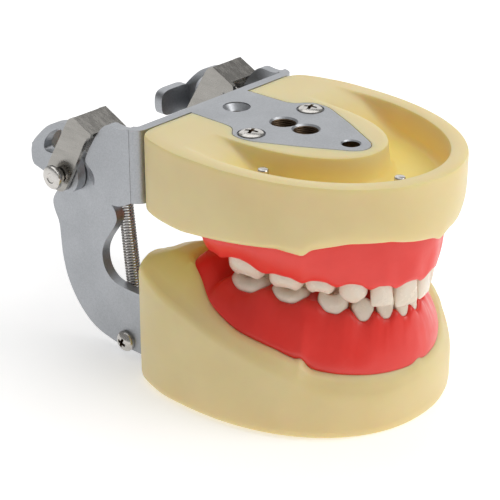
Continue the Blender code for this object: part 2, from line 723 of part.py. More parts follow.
def clip_solid(name, side, mat):
    """Bent steel clip: two cheeks joined by a sloping web, lug for the spring."""
    bm = plate(CHEEK, on_x, side * (CLIP_OUT - CLIP_T), side * CLIP_OUT)
    clip = finish(name, bm, mat)
    parts = [finish("cheek", plate(CHEEK, on_x, side * CLIP_IN, side * (CLIP_IN + CLIP_T)), mat)]
    parts.append(finish("nose", plate(NOSE, on_x, side * CLIP_IN, side * (CLIP_IN + CLIP_T)), mat))
    parts.append(finish("web", plate(WEB, on_x, side * CLIP_IN, side * CLIP_OUT), mat))
    steps = ((0.7, side * (CLIP_IN + 0.5)), (0.7, side * 21.4))
    parts.append(finish("lug", turned(on_x, LUG_Y, LUG_Z, steps, 12), mat))
    boolean(clip, parts, "UNION")
    steps = ((PIN_R + GAP, side * (CLIP_IN - 1.0)), (PIN_R + GAP, side * (CLIP_OUT + 1.0)))
    boolean(clip, [finish("hole", turned(on_x, HINGE_Y, HINGE_Z, steps, 20), mat)], "DIFFERENCE")
    tidy(clip)
    return clip


def lever_solid(name, side, mat):
    """Aluminium lever plate with a window and a thumb flange bent inwards."""
    inner = EAR_OUT - SHEET
    lever = finish(name, plate(LEVER, on_x, side * inner, side * EAR_OUT), mat)
    low = 43.6
    high = 50.4
    flange = ((FLANGE_IN, low + 1.5), (FLANGE_IN + 1.5, low), (EAR_OUT - 0.3, low),
              (EAR_OUT - 0.3, low + 4.8), (inner - 1.0, high), (FLANGE_IN + 1.5, high),
              (FLANGE_IN, high - 1.5))
    bm = bmesh.new()
    rings = [[(side * x, y, z) for x, z in flange] for y in (51.3, 53.8)]
    loft(bm, rings)
    boolean(lever, [finish("flange", bm, mat)], "UNION")
    tools = [finish("window", plate(WINDOW, on_x, side * (inner - 1.0), side * (EAR_OUT + 1.0)), mat)]
    steps = ((PIN_R + GAP, side * (inner - 1.0)), (PIN_R + GAP, side * (EAR_OUT + 1.0)))
    tools.append(finish("hole", turned(on_x, HINGE_Y, HINGE_Z, steps, 20), mat))
    boolean(lever, tools, "DIFFERENCE")
    tidy(lever)
    return lever


def spring_solid(name, side, mat):
    """Tension spring: loop on the rod, coil, straight leg, loop on the clip lug."""
    low = Vector((side * SPRING_X, ROD_Y, ROD_Z))
    high = Vector((side * SPRING_X, LUG_Y, LUG_Z))
    axis = (high - low).normalized()
    flat = Vector((side, 0.0, 0.0))
    across = axis.cross(flat)
    length = (high - low).length
    loop_low = ROD_R + GAP + WIRE_R
    loop_high = 0.7 + GAP + WIRE_R
    start = 6.2
    stop = length - 10.5
    path = []
    for k in range(10):
        angle = math.radians(60.0 + 270.0 * k / 9.0)
        path.append(low + axis * (loop_low * math.cos(angle)) + across * (loop_low * math.sin(angle)))
    path.append(low + axis * 4.4)
    count = SPRING_TURNS * TURN_STEPS
    for k in range(count + 1):
        angle = 2 * math.pi * k / TURN_STEPS
        pos = start + (stop - start) * k / count
        path.append(low + axis * pos + flat * (SPRING_R * math.cos(angle))
                    + across * (SPRING_R * math.sin(angle)))
    path.append(low + axis * (stop + 1.6))
    path.append(low + axis * (length - loop_high - 1.4))
    for k in range(8):
        angle = math.radians(215.0 + 255.0 * k / 7.0)
        path.append(high + axis * (loop_high * math.cos(angle)) + across * (loop_high * math.sin(angle)))
    rings = []
    for k, p in enumerate(path):
        before = path[max(k - 1, 0)]
        after = path[min(k + 1, len(path) - 1)]
        tangent = (after - before).normalized()
        ref = flat if abs(tangent.dot(flat)) < 0.9 else axis
        if 11 <= k <= 11 + count:
            centre = low + axis * (p - low).dot(axis)
            ref = (p - centre).normalized()
        one = (ref - tangent * ref.dot(tangent)).normalized()
        two = tangent.cross(one)
        rings.append([p + one * (WIRE_R * math.cos(a)) + two * (WIRE_R * math.sin(a))
                      for a in (0.0, 0.5 * math.pi, math.pi, 1.5 * math.pi)])
    bm = bmesh.new()
    loft(bm, rings)
    return finish(name, bm, mat, smooth=True)


# -------------------------------------------------------------------- build

for old in list(bpy.data.objects):
    bpy.data.objects.remove(old)

PLASTIC = material("cream_plastic", (0.78, 0.69, 0.45), 0.0, 0.45)
GUM = material("red_gum", (0.60, 0.05, 0.045), 0.0, 0.4)
ENAMEL = material("tooth_resin", (0.80, 0.74, 0.62), 0.0, 0.25)
ALUMINIUM = material("aluminium_sheet", (0.55, 0.57, 0.60), 1.0, 0.42)
STEEL = material("nickel_steel", (0.62, 0.60, 0.56), 1.0, 0.3)
SPRING_STEEL = material("spring_wire", (0.45, 0.42, 0.40), 1.0, 0.32)

LOWER = Jaw(LOWER_OUTLINE, LOWER_ARCH, LOWER_TONGUE, LOWER_LIP, LOWER_SEAT, 15.0, True)
UPPER = Jaw(UPPER_OUTLINE, UPPER_ARCH, UPPER_TONGUE, UPPER_LIP, UPPER_SEAT, 13.0, False)

LOWER_CREST = ((-44.2, 25.2), (-36.0, 25.6), (-27.0, 26.6), (-16.0, 28.2), (-7.0, 28.6), (-2.0, 31.0))
UPPER_CREST = ((-47.8, 25.4), (-38.0, 24.9), (-26.0, 24.6), (-16.0, 24.4), (-3.0, 22.6))
LOWER_NECKS = (25.0, 25.3, 25.2, 26.8, 28.1, 28.5)
UPPER_NECKS = (25.5, 25.6, 24.8, 24.6, 24.6, 22.9)

for label, jaw, specs, necks, crest in (
        ("lower", LOWER, LOWER_TEETH, LOWER_NECKS, LOWER_CREST),
        ("upper", UPPER, UPPER_TEETH, UPPER_NECKS, UPPER_CREST)):
    base = base_solid(label + "_base", jaw, PLASTIC)
    cut_base(base, jaw, PLASTIC)
    tidy(base)
    gum = gum_solid(label + "_gum", jaw, GUM, 0.10, FRONT_STEPS, crest, 0.34)
    row, sockets = tooth_row(jaw, label, specs, necks, ENAMEL)
    boolean(gum, sockets, "DIFFERENCE")
    tidy(gum)

upper_frame(UPPER, ALUMINIUM)
lower_frame(LOWER, ALUMINIUM)
cross_rod(STEEL)
for side, side_name in ((-1.0, "right"), (1.0, "left")):
    plate_screw("upper_plate_screw_" + side_name, side * PLATE_SCREW_X, UPPER, STEEL)
    sunk_plate_screw("lower_plate_screw_" + side_name, side * PLATE_SCREW_X, LOWER, STEEL)
    rod_screw("rod_screw_" + side_name, side, STEEL)
    hinge_pin("hinge_pin_" + side_name, side, STEEL)
    clip_solid("latch_clip_" + side_name, side, STEEL)
    lever_solid("latch_lever_" + side_name, side, ALUMINIUM)
    spring_solid("spring_" + side_name, side, SPRING_STEEL)
gum_screw("gum_screw_side", -19.8, -13.5, 5.6, UPPER, STEEL)
gum_screw("gum_screw_front", -3.6, -38.0, TROUGH_DEPTH - GAP, UPPER, STEEL)

for obj in bpy.data.objects:
    moves = obj.name.startswith(("latch", "upper", "gum"))
    pivot = Vector((0.0, HINGE_Y, HINGE_Z)) * MM if moves else Vector((0.0, CENTRE_Y, 0.0)) * MM
    for vert in obj.data.vertices:
        vert.co -= pivot
    obj.location = pivot - Vector((0.0, CENTRE_Y, 0.0)) * MM
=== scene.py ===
"""Looks of a child typodont: two plastic jaws with gums and teeth on a sprung metal articulator."""
import json
import math

import bmesh
import bpy
import numpy as np
from mathutils import Matrix, Vector


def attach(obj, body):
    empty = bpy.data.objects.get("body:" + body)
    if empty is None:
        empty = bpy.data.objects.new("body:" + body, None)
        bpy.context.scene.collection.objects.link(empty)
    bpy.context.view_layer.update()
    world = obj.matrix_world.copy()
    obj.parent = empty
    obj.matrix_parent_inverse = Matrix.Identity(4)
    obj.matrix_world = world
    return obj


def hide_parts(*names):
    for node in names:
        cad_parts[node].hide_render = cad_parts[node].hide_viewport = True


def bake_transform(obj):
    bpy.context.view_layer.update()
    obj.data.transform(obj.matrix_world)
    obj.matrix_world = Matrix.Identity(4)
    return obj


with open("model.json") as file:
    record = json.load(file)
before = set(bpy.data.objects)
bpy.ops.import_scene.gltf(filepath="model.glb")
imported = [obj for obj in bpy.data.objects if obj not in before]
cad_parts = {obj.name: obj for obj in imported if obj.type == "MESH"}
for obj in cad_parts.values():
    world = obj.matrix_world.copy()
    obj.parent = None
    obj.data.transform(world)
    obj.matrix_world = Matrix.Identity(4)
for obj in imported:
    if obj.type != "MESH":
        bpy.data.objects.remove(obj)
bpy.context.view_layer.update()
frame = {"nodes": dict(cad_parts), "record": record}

MM = 0.001
SHIFT_Y = 3.0                 # drafting y to model y
HEIGHT = 60.5                 # foot of the lower jaw to the top of the upper jaw
HINGE_Y = 42.6
HINGE_Z = 43.8
BACK_Y = 17.3                 # flat rear face of both bases
BOLT_YS = (-2.2, -8.8)        # the two threaded holes of each mounting plate
TIP_Y = -21.7                 # hole in its tip
REAR_Y = 12.2                 # countersunk hole at its rear
MIDDLE_Y = -4.0               # middle of a jaw's foot
ISLAND = (15.8, -29.2, 4.0, 2.1)     # width, front, widest place behind the jaw's own, roundness
TROUGH_DEPTH = 7.0
TROUGH_WALL = 4.1             # thickness of the rim outside the trough
TROUGH_ROOM = 7.0             # a narrower trough has its banks squeezed to fit
FRENUM_Y = -29.4              # place of the two side folds
PLATE_RECESS = 2.55           # depth of the pocket for the mounting plate
TROUGH_GLOW_HEIGHTS = (59.3, 53.6)   # heights over which the cream turns to a painted amber glow down the trough, standing for light bounced in and shining through its walls
PAD_GLOW_HEIGHTS = (24.0, 33.5)      # the same painted amber glow, standing for bounced light and shade, up to the pads behind the lower molars
TROUGH_DEEP = 8.5             # the trough's surfaces, which take the painted glow, lie within this of the upper foot
TROUGH_IN = 3.0               # and at least this far inside the outer wall
FRONT_STEPS = 13              # outline stations from the midline to the widest point
HALF_STEPS = 21               # outline stations of one half
FINE = 7                      # stations in one outline step
GUM_END = {"lower": 13.4, "upper": 13.1}     # outline station where each gum ends


# ---------------------------------------------------------------- materials

class Graph:
    """Small helper to wire a procedural material on a Principled shader."""

    def __init__(self, name, roughness, metallic=0.0):
        self.mat = bpy.data.materials.new(name)
        self.mat.use_nodes = True
        self.tree = self.mat.node_tree
        self.shader = self.tree.nodes["Principled BSDF"]
        self.set("Roughness", roughness)
        self.set("Metallic", metallic)
        self.where = self.tree.nodes.new("ShaderNodeTexCoord").outputs["Object"]

    def set(self, socket, value):
        self.shader.inputs[socket].default_value = value

    def link(self, a, b):
        self.tree.links.new(a, b)

    def stretch(self, scale):
        node = self.tree.nodes.new("ShaderNodeMapping")
        node.inputs["Scale"].default_value = scale
        self.link(self.where, node.inputs["Vector"])
        return node.outputs["Vector"]

    def noise(self, scale, detail=3.0, rough=0.5, vector=None):
        node = self.tree.nodes.new("ShaderNodeTexNoise")
        node.inputs["Scale"].default_value = scale
        node.inputs["Detail"].default_value = detail
        node.inputs["Roughness"].default_value = rough
        self.link(vector or self.where, node.inputs["Vector"])
        return node.outputs["Fac"]

    def ramp(self, value, stops):
        node = self.tree.nodes.new("ShaderNodeValToRGB")
        while len(node.color_ramp.elements) < len(stops):
            node.color_ramp.elements.new(0.5)
        for element, (place, colour) in zip(node.color_ramp.elements, stops):
            element.position = place
            element.color = (*colour, 1.0)
        self.link(value, node.inputs["Fac"])
        return node.outputs["Color"]

    def spread(self, value, low, high, out_low, out_high):
        node = self.tree.nodes.new("ShaderNodeMapRange")
        for socket, number in zip(("From Min", "From Max", "To Min", "To Max"),
                                  (low, high, out_low, out_high)):
            node.inputs[socket].default_value = number
        self.link(value, node.inputs["Value"])
        return node.outputs["Result"]

    def add(self, a, b, weight):
        node = self.tree.nodes.new("ShaderNodeMath")
        node.operation = "MULTIPLY_ADD"
        self.link(b, node.inputs[0])
        node.inputs[1].default_value = weight
        self.link(a, node.inputs[2])
        return node.outputs["Value"]

    def bump(self, value, strength, distance):
        node = self.tree.nodes.new("ShaderNodeBump")
        node.inputs["Strength"].default_value = strength
        node.inputs["Distance"].default_value = distance
        self.link(value, node.inputs["Height"])
        self.link(node.outputs["Normal"], self.shader.inputs["Normal"])

    def colour(self, socket):
        self.link(socket, self.shader.inputs["Base Color"])

    def rough(self, socket):
        self.link(socket, self.shader.inputs["Roughness"])


def cream_plastic(name="cream_cast_plastic", deep=None):
    """Waxy cream resin; deep = (height mm, height mm) over which it turns to a painted amber glow
    standing for light bounced in hollows and shining through the resin.
    """
    g = Graph(name, 0.40)
    cloud = g.noise(60.0, 3.0)
    cream = g.ramp(cloud, ((0.30, (0.800, 0.655, 0.315)), (0.72, (0.850, 0.715, 0.375))))
    if deep:
        height = g.tree.nodes.new("ShaderNodeSeparateXYZ")
        g.link(g.where, height.inputs["Vector"])
        share = g.spread(height.outputs["Z"], deep[0] * MM, deep[1] * MM, 0.0, 1.0)
        glow_blend = g.tree.nodes.new("ShaderNodeMix")
        glow_blend.data_type = "RGBA"
        g.link(share, glow_blend.inputs["Factor"])
        g.link(cream, glow_blend.inputs[6])
        # Painted glow: warm amber standing for light bounced in hollows and shining through the resin,
        # mixed in by height.
        glow_blend.inputs[7].default_value = (0.95, 0.74, 0.22, 1.0)
        cream = glow_blend.outputs[2]
    g.colour(cream)
    g.rough(g.spread(g.noise(240.0, 4.0), 0.3, 0.7, 0.36, 0.48))
    g.bump(g.add(g.noise(420.0, 3.0), g.noise(90.0, 2.0), 2.0), 0.10, 0.0002)
    g.set("Subsurface Weight", 0.65)
    g.set("Subsurface Radius", (1.0, 0.66, 0.26))
    g.set("Subsurface Scale", 0.0042)
    g.set("Coat Weight", 0.10)
    g.set("Coat Roughness", 0.25)
    return g.mat


def gum_rubber():
    g = Graph("red_gum_rubber", 0.34)
    cloud = g.noise(110.0, 4.0)
    g.colour(g.ramp(cloud, ((0.28, (0.860, 0.034, 0.022)), (0.70, (0.930, 0.052, 0.038)))))
    g.rough(g.spread(g.noise(300.0, 3.0), 0.3, 0.7, 0.30, 0.44))
    g.bump(g.add(g.noise(900.0, 2.0), g.noise(180.0, 2.0), 1.6), 0.16, 0.00018)
    g.set("Subsurface Weight", 0.35)
    g.set("Subsurface Radius", (1.0, 0.30, 0.22))
    g.set("Subsurface Scale", 0.0022)
    g.set("Coat Weight", 0.20)
    g.set("Coat Roughness", 0.25)
    return g.mat


def tooth_resin():
    g = Graph("ivory_tooth_resin", 0.22)
    cloud = g.noise(210.0, 3.0)
    g.colour(g.ramp(cloud, ((0.30, (0.840, 0.725, 0.580)), (0.72, (0.890, 0.800, 0.670)))))
    g.rough(g.spread(g.noise(500.0, 3.0), 0.3, 0.7, 0.18, 0.32))
    g.bump(g.noise(520.0, 2.0), 0.08, 0.00012)
    g.set("Subsurface Weight", 0.30)
    g.set("Subsurface Radius", (1.0, 0.62, 0.45))
    g.set("Subsurface Scale", 0.0008)
    g.set("Coat Weight", 0.25)
    g.set("Coat Roughness", 0.12)
    return g.mat


def metal(name, dark, light, low, high, grain, stretch=(1.0, 1.0, 1.0)):
    """Metal between two colours and two roughnesses; stretch draws its grain out."""
    g = Graph(name, 0.4, 1.0)
    lines = g.stretch(stretch)
    fine = g.noise(grain, 5.0, 0.7, lines)
    patch = g.noise(120.0, 3.0)
    g.colour(g.ramp(g.add(fine, patch, 0.35), ((0.38, dark), (0.90, light))))
    g.rough(g.spread(fine, 0.3, 0.7, low, high))
    g.bump(g.add(fine, patch, 0.3), 0.18, 0.00006)
    return g.mat


CREAM = cream_plastic()
# Copies of the cream with painted amber glow, standing for bounced and shining-through light: down the
# trough and up to the lower pads.
TROUGH_GLOW_CREAM = cream_plastic("cream_plastic_trough_painted_glow", TROUGH_GLOW_HEIGHTS)
PAD_GLOW_CREAM = cream_plastic("cream_plastic_pads_painted_glow", PAD_GLOW_HEIGHTS)
GUM = gum_rubber()
ENAMEL = tooth_resin()
ALUMINIUM = metal("blasted_aluminium", (0.32, 0.333, 0.351), (0.50, 0.515, 0.54), 0.34, 0.50, 2600.0)
STEEL = metal("nickel_plated_steel", (0.29, 0.28, 0.26), (0.41, 0.395, 0.37), 0.20, 0.32, 900.0,
              (1.0, 0.16, 1.0))
BRIGHT = metal("bright_screw_steel", (0.48, 0.46, 0.43), (0.70, 0.68, 0.65), 0.18, 0.30, 1300.0)
# Painted shade: dark metal standing for the shadow inside the plate's bores and the screws' cross
# recesses.
PAINTED_SHADE_METAL = metal("painted_shade_hollow_metal", (0.05, 0.032, 0.02), (0.16, 0.11, 0.07), 0.35, 0.5, 1500.0)
WIRE = metal("drawn_spring_wire", (0.34, 0.32, 0.31), (0.62, 0.60, 0.58), 0.20, 0.34, 1500.0)
SLOT_MATERIAL = {"cream_plastic": CREAM, "red_gum": GUM, "tooth_resin": ENAMEL,
                 "aluminium_sheet": ALUMINIUM, "nickel_steel": STEEL, "spring_wire": WIRE}


# ------------------------------------------------------------ mesh helpers

def place(x, y, z):
    """Drafting millimetres to model metres."""
    return (x * MM, (y - SHIFT_Y) * MM, z * MM)


def solid(name, verts, faces, mat):
    """Mesh object from millimetre points, with normals pointing out."""
    mesh = bpy.data.meshes.new(name)
    mesh.from_pydata([place(*v) for v in verts], [], faces)
    bm = bmesh.new()
    bm.from_mesh(mesh)
    bmesh.ops.remove_doubles(bm, verts=bm.verts, dist=0.000001)
    bmesh.ops.recalc_face_normals(bm, faces=bm.faces)
    bm.to_mesh(mesh)
    bm.free()
    obj = bpy.data.objects.new(name, mesh)
    bpy.context.collection.objects.link(obj)
    mesh.materials.append(mat)
    return obj


def skin(rings, caps=True):
    """Verts and faces of a loft through closed rings of equal length."""
    count = len(rings[0])
    verts = [tuple(p) for ring in rings for p in ring]
    faces = []
    for r in range(len(rings) - 1):
        a = r * count
        b = a + count
        for i in range(count):
            j = (i + 1) % count
            faces.append((a + i, a + j, b + j, b + i))
    if caps:
        faces.append(tuple(reversed(range(count))))
        faces.append(tuple(range((len(rings) - 1) * count, len(rings) * count)))
    return verts, faces


def dress(obj, body, node, sharp, bevel=0.0, subdivide=0):
    """Smooth shading, optional edge rounding, and the CAD body and node it stands for."""
    mesh = obj.data
    mesh.polygons.foreach_set("use_smooth", [True] * len(mesh.polygons))
    if bevel:
        mod = obj.modifiers.new("edge", "BEVEL")
        mod.width = bevel * MM
        mod.segments = 2
        mod.limit_method = "ANGLE"
        mod.angle_limit = math.radians(32.0)
    if subdivide:
        mod = obj.modifiers.new("smooth", "SUBSURF")
        mod.levels = subdivide
        mod.render_levels = subdivide
    if sharp:
        mesh.set_sharp_from_angle(angle=math.radians(sharp))
    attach(obj, body)
    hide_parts(node)


def plate(name, outline, axis, low, high, mat):
    """Flat plate: outline swept along X or Z."""
    rings = []
    for t in (low, high):
        rings.append([(t, a, b) if axis == "x" else (a, b, t) for a, b in outline])
    return solid(name, *skin(rings), mat)


def circle(cx, cy, r, count):
    turn = 2.0 * math.pi / count
    return [(cx + r * math.cos(turn * i), cy + r * math.sin(turn * i)) for i in range(count)]


def turned(name, axis, cx, cy, steps, mat, count=48):
    """Turned part: steps are (radius, position along the axis)."""
    rings = []
    for r, t in steps:
        rings.append([(t, a, b) if axis == "x" else (a, b, t) for a, b in circle(cx, cy, r, count)])
    return solid(name, *skin(rings), mat)


def cut(target, tools, operation="DIFFERENCE"):
    """Cut the tools from a piece, or join them to it, and use them up."""
    for tool in tools:
        mod = target.modifiers.new("cut", "BOOLEAN")
        mod.operation = operation
        mod.solver = "EXACT"
        mod.material_mode = "TRANSFER"
        mod.object = tool
        graph = bpy.context.evaluated_depsgraph_get()
        mesh = bpy.data.meshes.new_from_object(target.evaluated_get(graph))
        target.modifiers.clear()
        old = target.data
        target.data = mesh
        bpy.data.meshes.remove(old)
        bpy.data.objects.remove(tool)


def soften(outline, reach, keep=()):
    """Round the corners of a closed outline, leaving the kept corners sharp."""
    pts = [(Vector(p), k in keep) for k, p in enumerate(outline)]
    for _ in range(3):
        new = []
        for k, (p, fixed) in enumerate(pts):
            if fixed:
                new.append((p, True))
                continue
            for q in (pts[k - 1][0], pts[(k + 1) % len(pts)][0]):
                step = (q - p).length
                new.append((p + (q - p).normalized() * min(0.25 * step, reach), False))
        pts = new
        reach *= 0.5
    return [(p.x, p.y) for p, _ in pts]


# ------------------------------------------------------------- jaw outlines

def power(value, exponent):
    return math.copysign(abs(value) ** exponent, value)


def half_curve(shape, back, flat_x):
    """Half outline of a jaw from the midline in front to the midline behind."""
    width, front, widest, roundness = shape
    pts = []
    for i in range(FRONT_STEPS + 1):
        angle = 0.5 * math.pi * i / FRONT_STEPS
        pts.append((width * power(math.sin(angle), 2.0 / roundness),
                    widest - (widest - front) * power(math.cos(angle), 2.0 / roundness)))
    run = back - widest
    for wide, deep in ((0.995, 0.35), (0.965, 0.60), (0.92, 0.82), (0.86, 0.95)):
        pts.append((width * wide, widest + deep * run))
    for wide in (1.0, 0.62, 0.30, 0.0):
        pts.append((flat_x * wide, back))
    return pts


def table(pairs, value):
    return float(np.interp(value, [k for k, _ in pairs], [v for _, v in pairs]))


def spline(values, t):
    """Closed uniform spline through values at whole stations."""
    count = len(values)
    i = math.floor(t)
    f = t - i
    a, b, c, d = (np.asarray(values[(i + k) % count], float) for k in (-1, 0, 1, 2))
    return 0.5 * (2.0 * b + (c - a) * f + (2 * a - 5 * b + 4 * c - d) * f * f
                  + (3 * b - a - 3 * c + d) * f ** 3)


def ring_of(half):
    return half + [(-x, y) for x, y in reversed(half[1:-1])]


def from_front(t):
    """Signed number of stations from the midline in front."""
    return ((t + HALF_STEPS) % (2 * HALF_STEPS)) - HALF_STEPS


def bell(value, middle, width):
    return math.exp(-((value - middle) / width) ** 2)


def smooth01(value):
    value = min(max(value, 0.0), 1.0)
    return value * value * (3.0 - 2.0 * value)


class Jaw:
    """Curves and heights of one jaw, whose teeth point up if `up`; heights h start at its foot."""

    def __init__(self, up, outline, arch, tongue, tables, floor):
        self.up = up
        self.floor = floor
        self.outer = ring_of(half_curve(outline, BACK_Y, outline[0] * 0.74))
        self.arch = ring_of(half_curve(arch, BACK_Y - 3.0, arch[0] * 0.80))
        self.tongue = ring_of(half_curve(tongue, BACK_Y - 6.0, tongue[0] * 0.80))
        width, front, behind, roundness = ISLAND
        island = (width, front, outline[2] + behind, roundness)
        self.island = ring_of(half_curve(island, BACK_Y - 5.0, 11.0))
        ring = np.asarray([spline(self.outer, k * 0.25) for k in range(8 * HALF_STEPS)])
        self.way = np.arctan2(ring[:, 0], MIDDLE_Y - ring[:, 1])
        self.reach = np.hypot(ring[:, 0], ring[:, 1] - MIDDLE_Y)
        self.tables = tables
        steps = np.linspace(0.0, 16.0, 1601)
        line = np.array([spline(self.arch, t) for t in steps])
        self.steps = steps
        self.line = line
        self.run = np.concatenate(([0.0], np.cumsum(np.linalg.norm(np.diff(line, axis=0), axis=1))))

    def z(self, h):
        return h if self.up else HEIGHT - h

    def height(self, name, t):
        """Value of a front-to-back table, averaged over a short run of the outline."""
        total = 0.0
        for step in (-0.12, -0.06, 0.0, 0.06, 0.12):
            x, y = self.plan(t + step, 0.0)
            key = y if y < BACK_Y - 0.01 else BACK_Y + (1.0 - abs(x) / 30.0) * 10.0
            total += table(self.tables[name], key)
        return 0.2 * total

    def plan(self, t, u):
        """Plan point; u is 0 on the outer wall, 1 on the tooth line, 2 on the tongue line."""
        a = spline(self.outer, t) if u <= 1.0 else spline(self.arch, t)
        b = spline(self.arch, t) if u <= 1.0 else spline(self.tongue, t)
        f = u if u <= 1.0 else u - 1.0
        p = a + (b - a) * f
        return float(p[0]), min(float(p[1]), BACK_Y)

    def point(self, t, u, h):
        x, y = self.plan(t, u)
        return (x, y, self.z(h))

    def inside_rim(self, p):
        """Whether a model point lies inside the rim of the trough, seen from above."""
        ahead = MIDDLE_Y - p.y - SHIFT_Y
        wall = self.reach[int(np.argmin(np.abs(self.way - math.atan2(p.x, ahead))))]
        return math.hypot(p.x, ahead) < wall - TROUGH_IN

    def length_at(self, t):
        """Signed running length of the tooth line at a station."""
        half = from_front(t)
        return math.copysign(float(np.interp(abs(half), self.steps, self.run)), half)

    def line_at(self, length):
        x = np.interp(abs(length), self.run, self.line[:, 0])
        y = np.interp(abs(length), self.run, self.line[:, 1])
        return Vector((math.copysign(x, length), y, 0.0))


LOWER = Jaw(True, (33.6, -44.2, -2.0, 2.15), (23.2, -40.2, -2.0, 1.77), (11.6, -30.0, -2.0, 2.0), {
    "lip": ((-44.2, 11.6), (-41.5, 11.4), (-35.7, 13.0), (-30.2, 15.8), (-27.3, 17.8),
            (-16.8, 21.0), (-3.1, 25.5), (6.0, 28.3), (13.0, 30.6), (17.3, 30.6), (22.0, 22.0),
            (27.0, 15.0)),
    "seat": ((-44.2, 15.5), (-35.0, 17.0), (-16.0, 21.0), (-6.0, 23.6), (-1.8, 27.0),
             (4.8, 34.6), (9.6, 34.4), (14.0, 33.0), (17.3, 31.0), (22.0, 21.8), (27.0, 15.0)),
    "edge": ((-44.2, 13.6), (-41.0, 13.9), (-36.0, 14.7), (-32.6, 15.4), (-31.0, 16.0), (-29.8, 17.3),
             (-28.6, 17.7), (-24.0, 19.6), (-15.0, 22.0), (-8.0, 25.4), (-5.0, 27.6), (-2.0, 30.6),
             (0.5, 33.2), (4.8, 34.2), (9.6, 34.2), (14.0, 32.6), (17.3, 30.9), (22.0, 21.9),
             (27.0, 15.0)),
    "edge_u": ((-44.2, 0.44), (-36.0, 0.40), (-24.0, 0.42), (-12.0, 0.44), (-6.0, 0.50),
               (-2.0, 0.62), (4.8, 0.70), (27.0, 0.55)),
}, 15.0)
UPPER = Jaw(False, (30.4, -47.8, -5.0, 2.05), (25.2, -42.8, -3.0, 1.91), (12.4, -32.0, -3.0, 2.0), {
    "lip": ((-47.8, 14.2), (-44.0, 12.8), (-38.0, 12.9), (-33.0, 14.3), (-31.0, 15.0), (-29.8, 16.4),
            (-28.6, 16.4), (-24.0, 15.7), (-12.0, 17.0), (2.0, 18.5), (10.0, 18.7), (17.3, 18.8),
            (20.0, 18.2), (22.0, 16.5), (27.0, 13.0)),
    "seat": ((-47.8, 17.5), (-38.0, 17.0), (-12.0, 17.6), (2.0, 18.6), (10.0, 18.0),
             (17.3, 17.2), (22.0, 16.0), (27.0, 13.0)),
    "edge": ((-47.8, 14.6), (-44.0, 13.4), (-38.0, 13.4), (-31.0, 15.4), (-29.8, 16.7), (-24.0, 16.2),
             (-12.0, 17.5), (2.0, 18.8), (10.0, 18.1), (17.3, 17.2), (22.0, 16.0), (27.0, 13.0)),
    "edge_u": ((-47.8, 0.86), (-44.0, 0.74), (-38.0, 0.54), (-28.0, 0.46), (-12.0, 0.46),
               (27.0, 0.46)),
}, 13.0)


# ------------------------------------------------------------ plastic bases

def frenum(jaw, t):
    """Rise of the border at the three frenum folds."""
    x, y = jaw.plan(t, 0.0)
    if y > 0.0:
        return 0.0
    side = bell(y, FRENUM_Y, 0.9) * (1.0 if abs(x) > 14.0 else 0.0)
    return (0.8 if jaw.up else 0.1) * side + 0.9 * bell(x, 0.0, 1.9)


def trough_section(jaw, t):
    """Island, trough and rim of the foot side, as plan points with depths."""
    outer = np.asarray(jaw.plan(t, 0.0))
    island = np.asarray(spline(jaw.island, t), float)
    gap = float(np.linalg.norm(island - outer))
    n = (island - outer) / gap
    wall = min(TROUGH_WALL, 0.35 * gap)
    room = gap - wall
    q = min(1.0, room / TROUGH_ROOM)
    half = abs(from_front(t))
    open_share = 1.0 - smooth01((half - 9.6) / 4.8)
    depth = TROUGH_DEPTH * open_share
    edge = open_share * 0.55
    near = outer + n * wall
    bank = ((-1.4, 0.0), (-0.45, 0.0), (-0.12, 0.25 * edge), (0.05, edge), (0.35, 0.45 * depth),
            (0.75, 0.78 * depth), (1.5, 0.95 * depth), (2.6, depth))
    rows = [(island - n * (inset * q), down) for inset, down in bank]
    rows += [(near + n * (inset * q), down) for inset, down in reversed(bank[1:])]
    return rows


def base_rings(jaw):
    """Rings of the base from the middle of its foot to the middle of its mouth side."""
    columns = []
    for k in range(2 * HALF_STEPS * FINE):
        t = k / FINE
        lift = frenum(jaw, t)
        lip = jaw.height("lip", t) + (1.1 if not jaw.up else 0.5) * lift
        edge = jaw.height("edge", t) + 0.9 * lift
        edge_u = jaw.height("edge_u", t)
        half = abs(from_front(t))
        seat = jaw.height("seat", t)
        if half < GUM_END["upper"] + 0.5:
            seat = min(seat, edge + 0.8)
        column = []
        rows = trough_section(jaw, t)
        middle = np.array((0.0, MIDDLE_Y))
        for share in (0.0, 0.35, 0.7):
            p = middle + (rows[0][0] - middle) * share
            column.append((p[0], p[1], jaw.z(0.0)))
        for p, down in rows:
            column.append((p[0], min(p[1], BACK_Y), jaw.z(down)))
        front = 1.0 - smooth01((half - 3.0) / 8.0)
        roll = (0.75 + 0.25 * front) if jaw.up else (0.32 + 1.08 * front)
        foot = 2.4 if jaw.up else 1.0
        bulge = 0.6 if jaw.up else 0.1
        profile = [(0.075 * foot, 0.0), (0.03 * foot, 0.12 * foot), (0.008 * foot, 0.45 * foot),
                   (0.0, 0.95 * foot), (0.0, 0.2 * lip), (0.0, 0.40 * lip), (0.004, lip - 3.9 * roll),
                   (0.018, lip - 2.9 * roll), (0.05, lip - 1.9 * roll), (0.10, lip - 1.05 * roll),
                   (0.16, lip - 0.40 * roll)]
        for share, crown in ((0.12, 0.22), (0.34, 0.45), (0.58, 0.45), (0.80, 0.25)):
            profile.append((0.17 + (edge_u - 0.17) * share, lip + (edge - lip) * share + crown * bulge))
        profile += [(edge_u, edge), (edge_u + 0.12, edge + 0.1),
                    (0.5 * (edge_u + 1.2), 0.5 * (edge + seat)), (1.2, seat), (1.5, seat - 0.5),
                    (1.72, 0.45 * seat + 0.55 * jaw.floor), (1.86, jaw.floor + 0.5),
                    (2.0, jaw.floor)]
        column += [jaw.point(t, u, h) for u, h in profile]
        x, y = jaw.plan(t, 2.0)
        for share in (0.5, 0.0):
            column.append((x * share, MIDDLE_Y + (y - MIDDLE_Y) * share, jaw.z(jaw.floor)))
        columns.append(column)
    return list(zip(*columns))


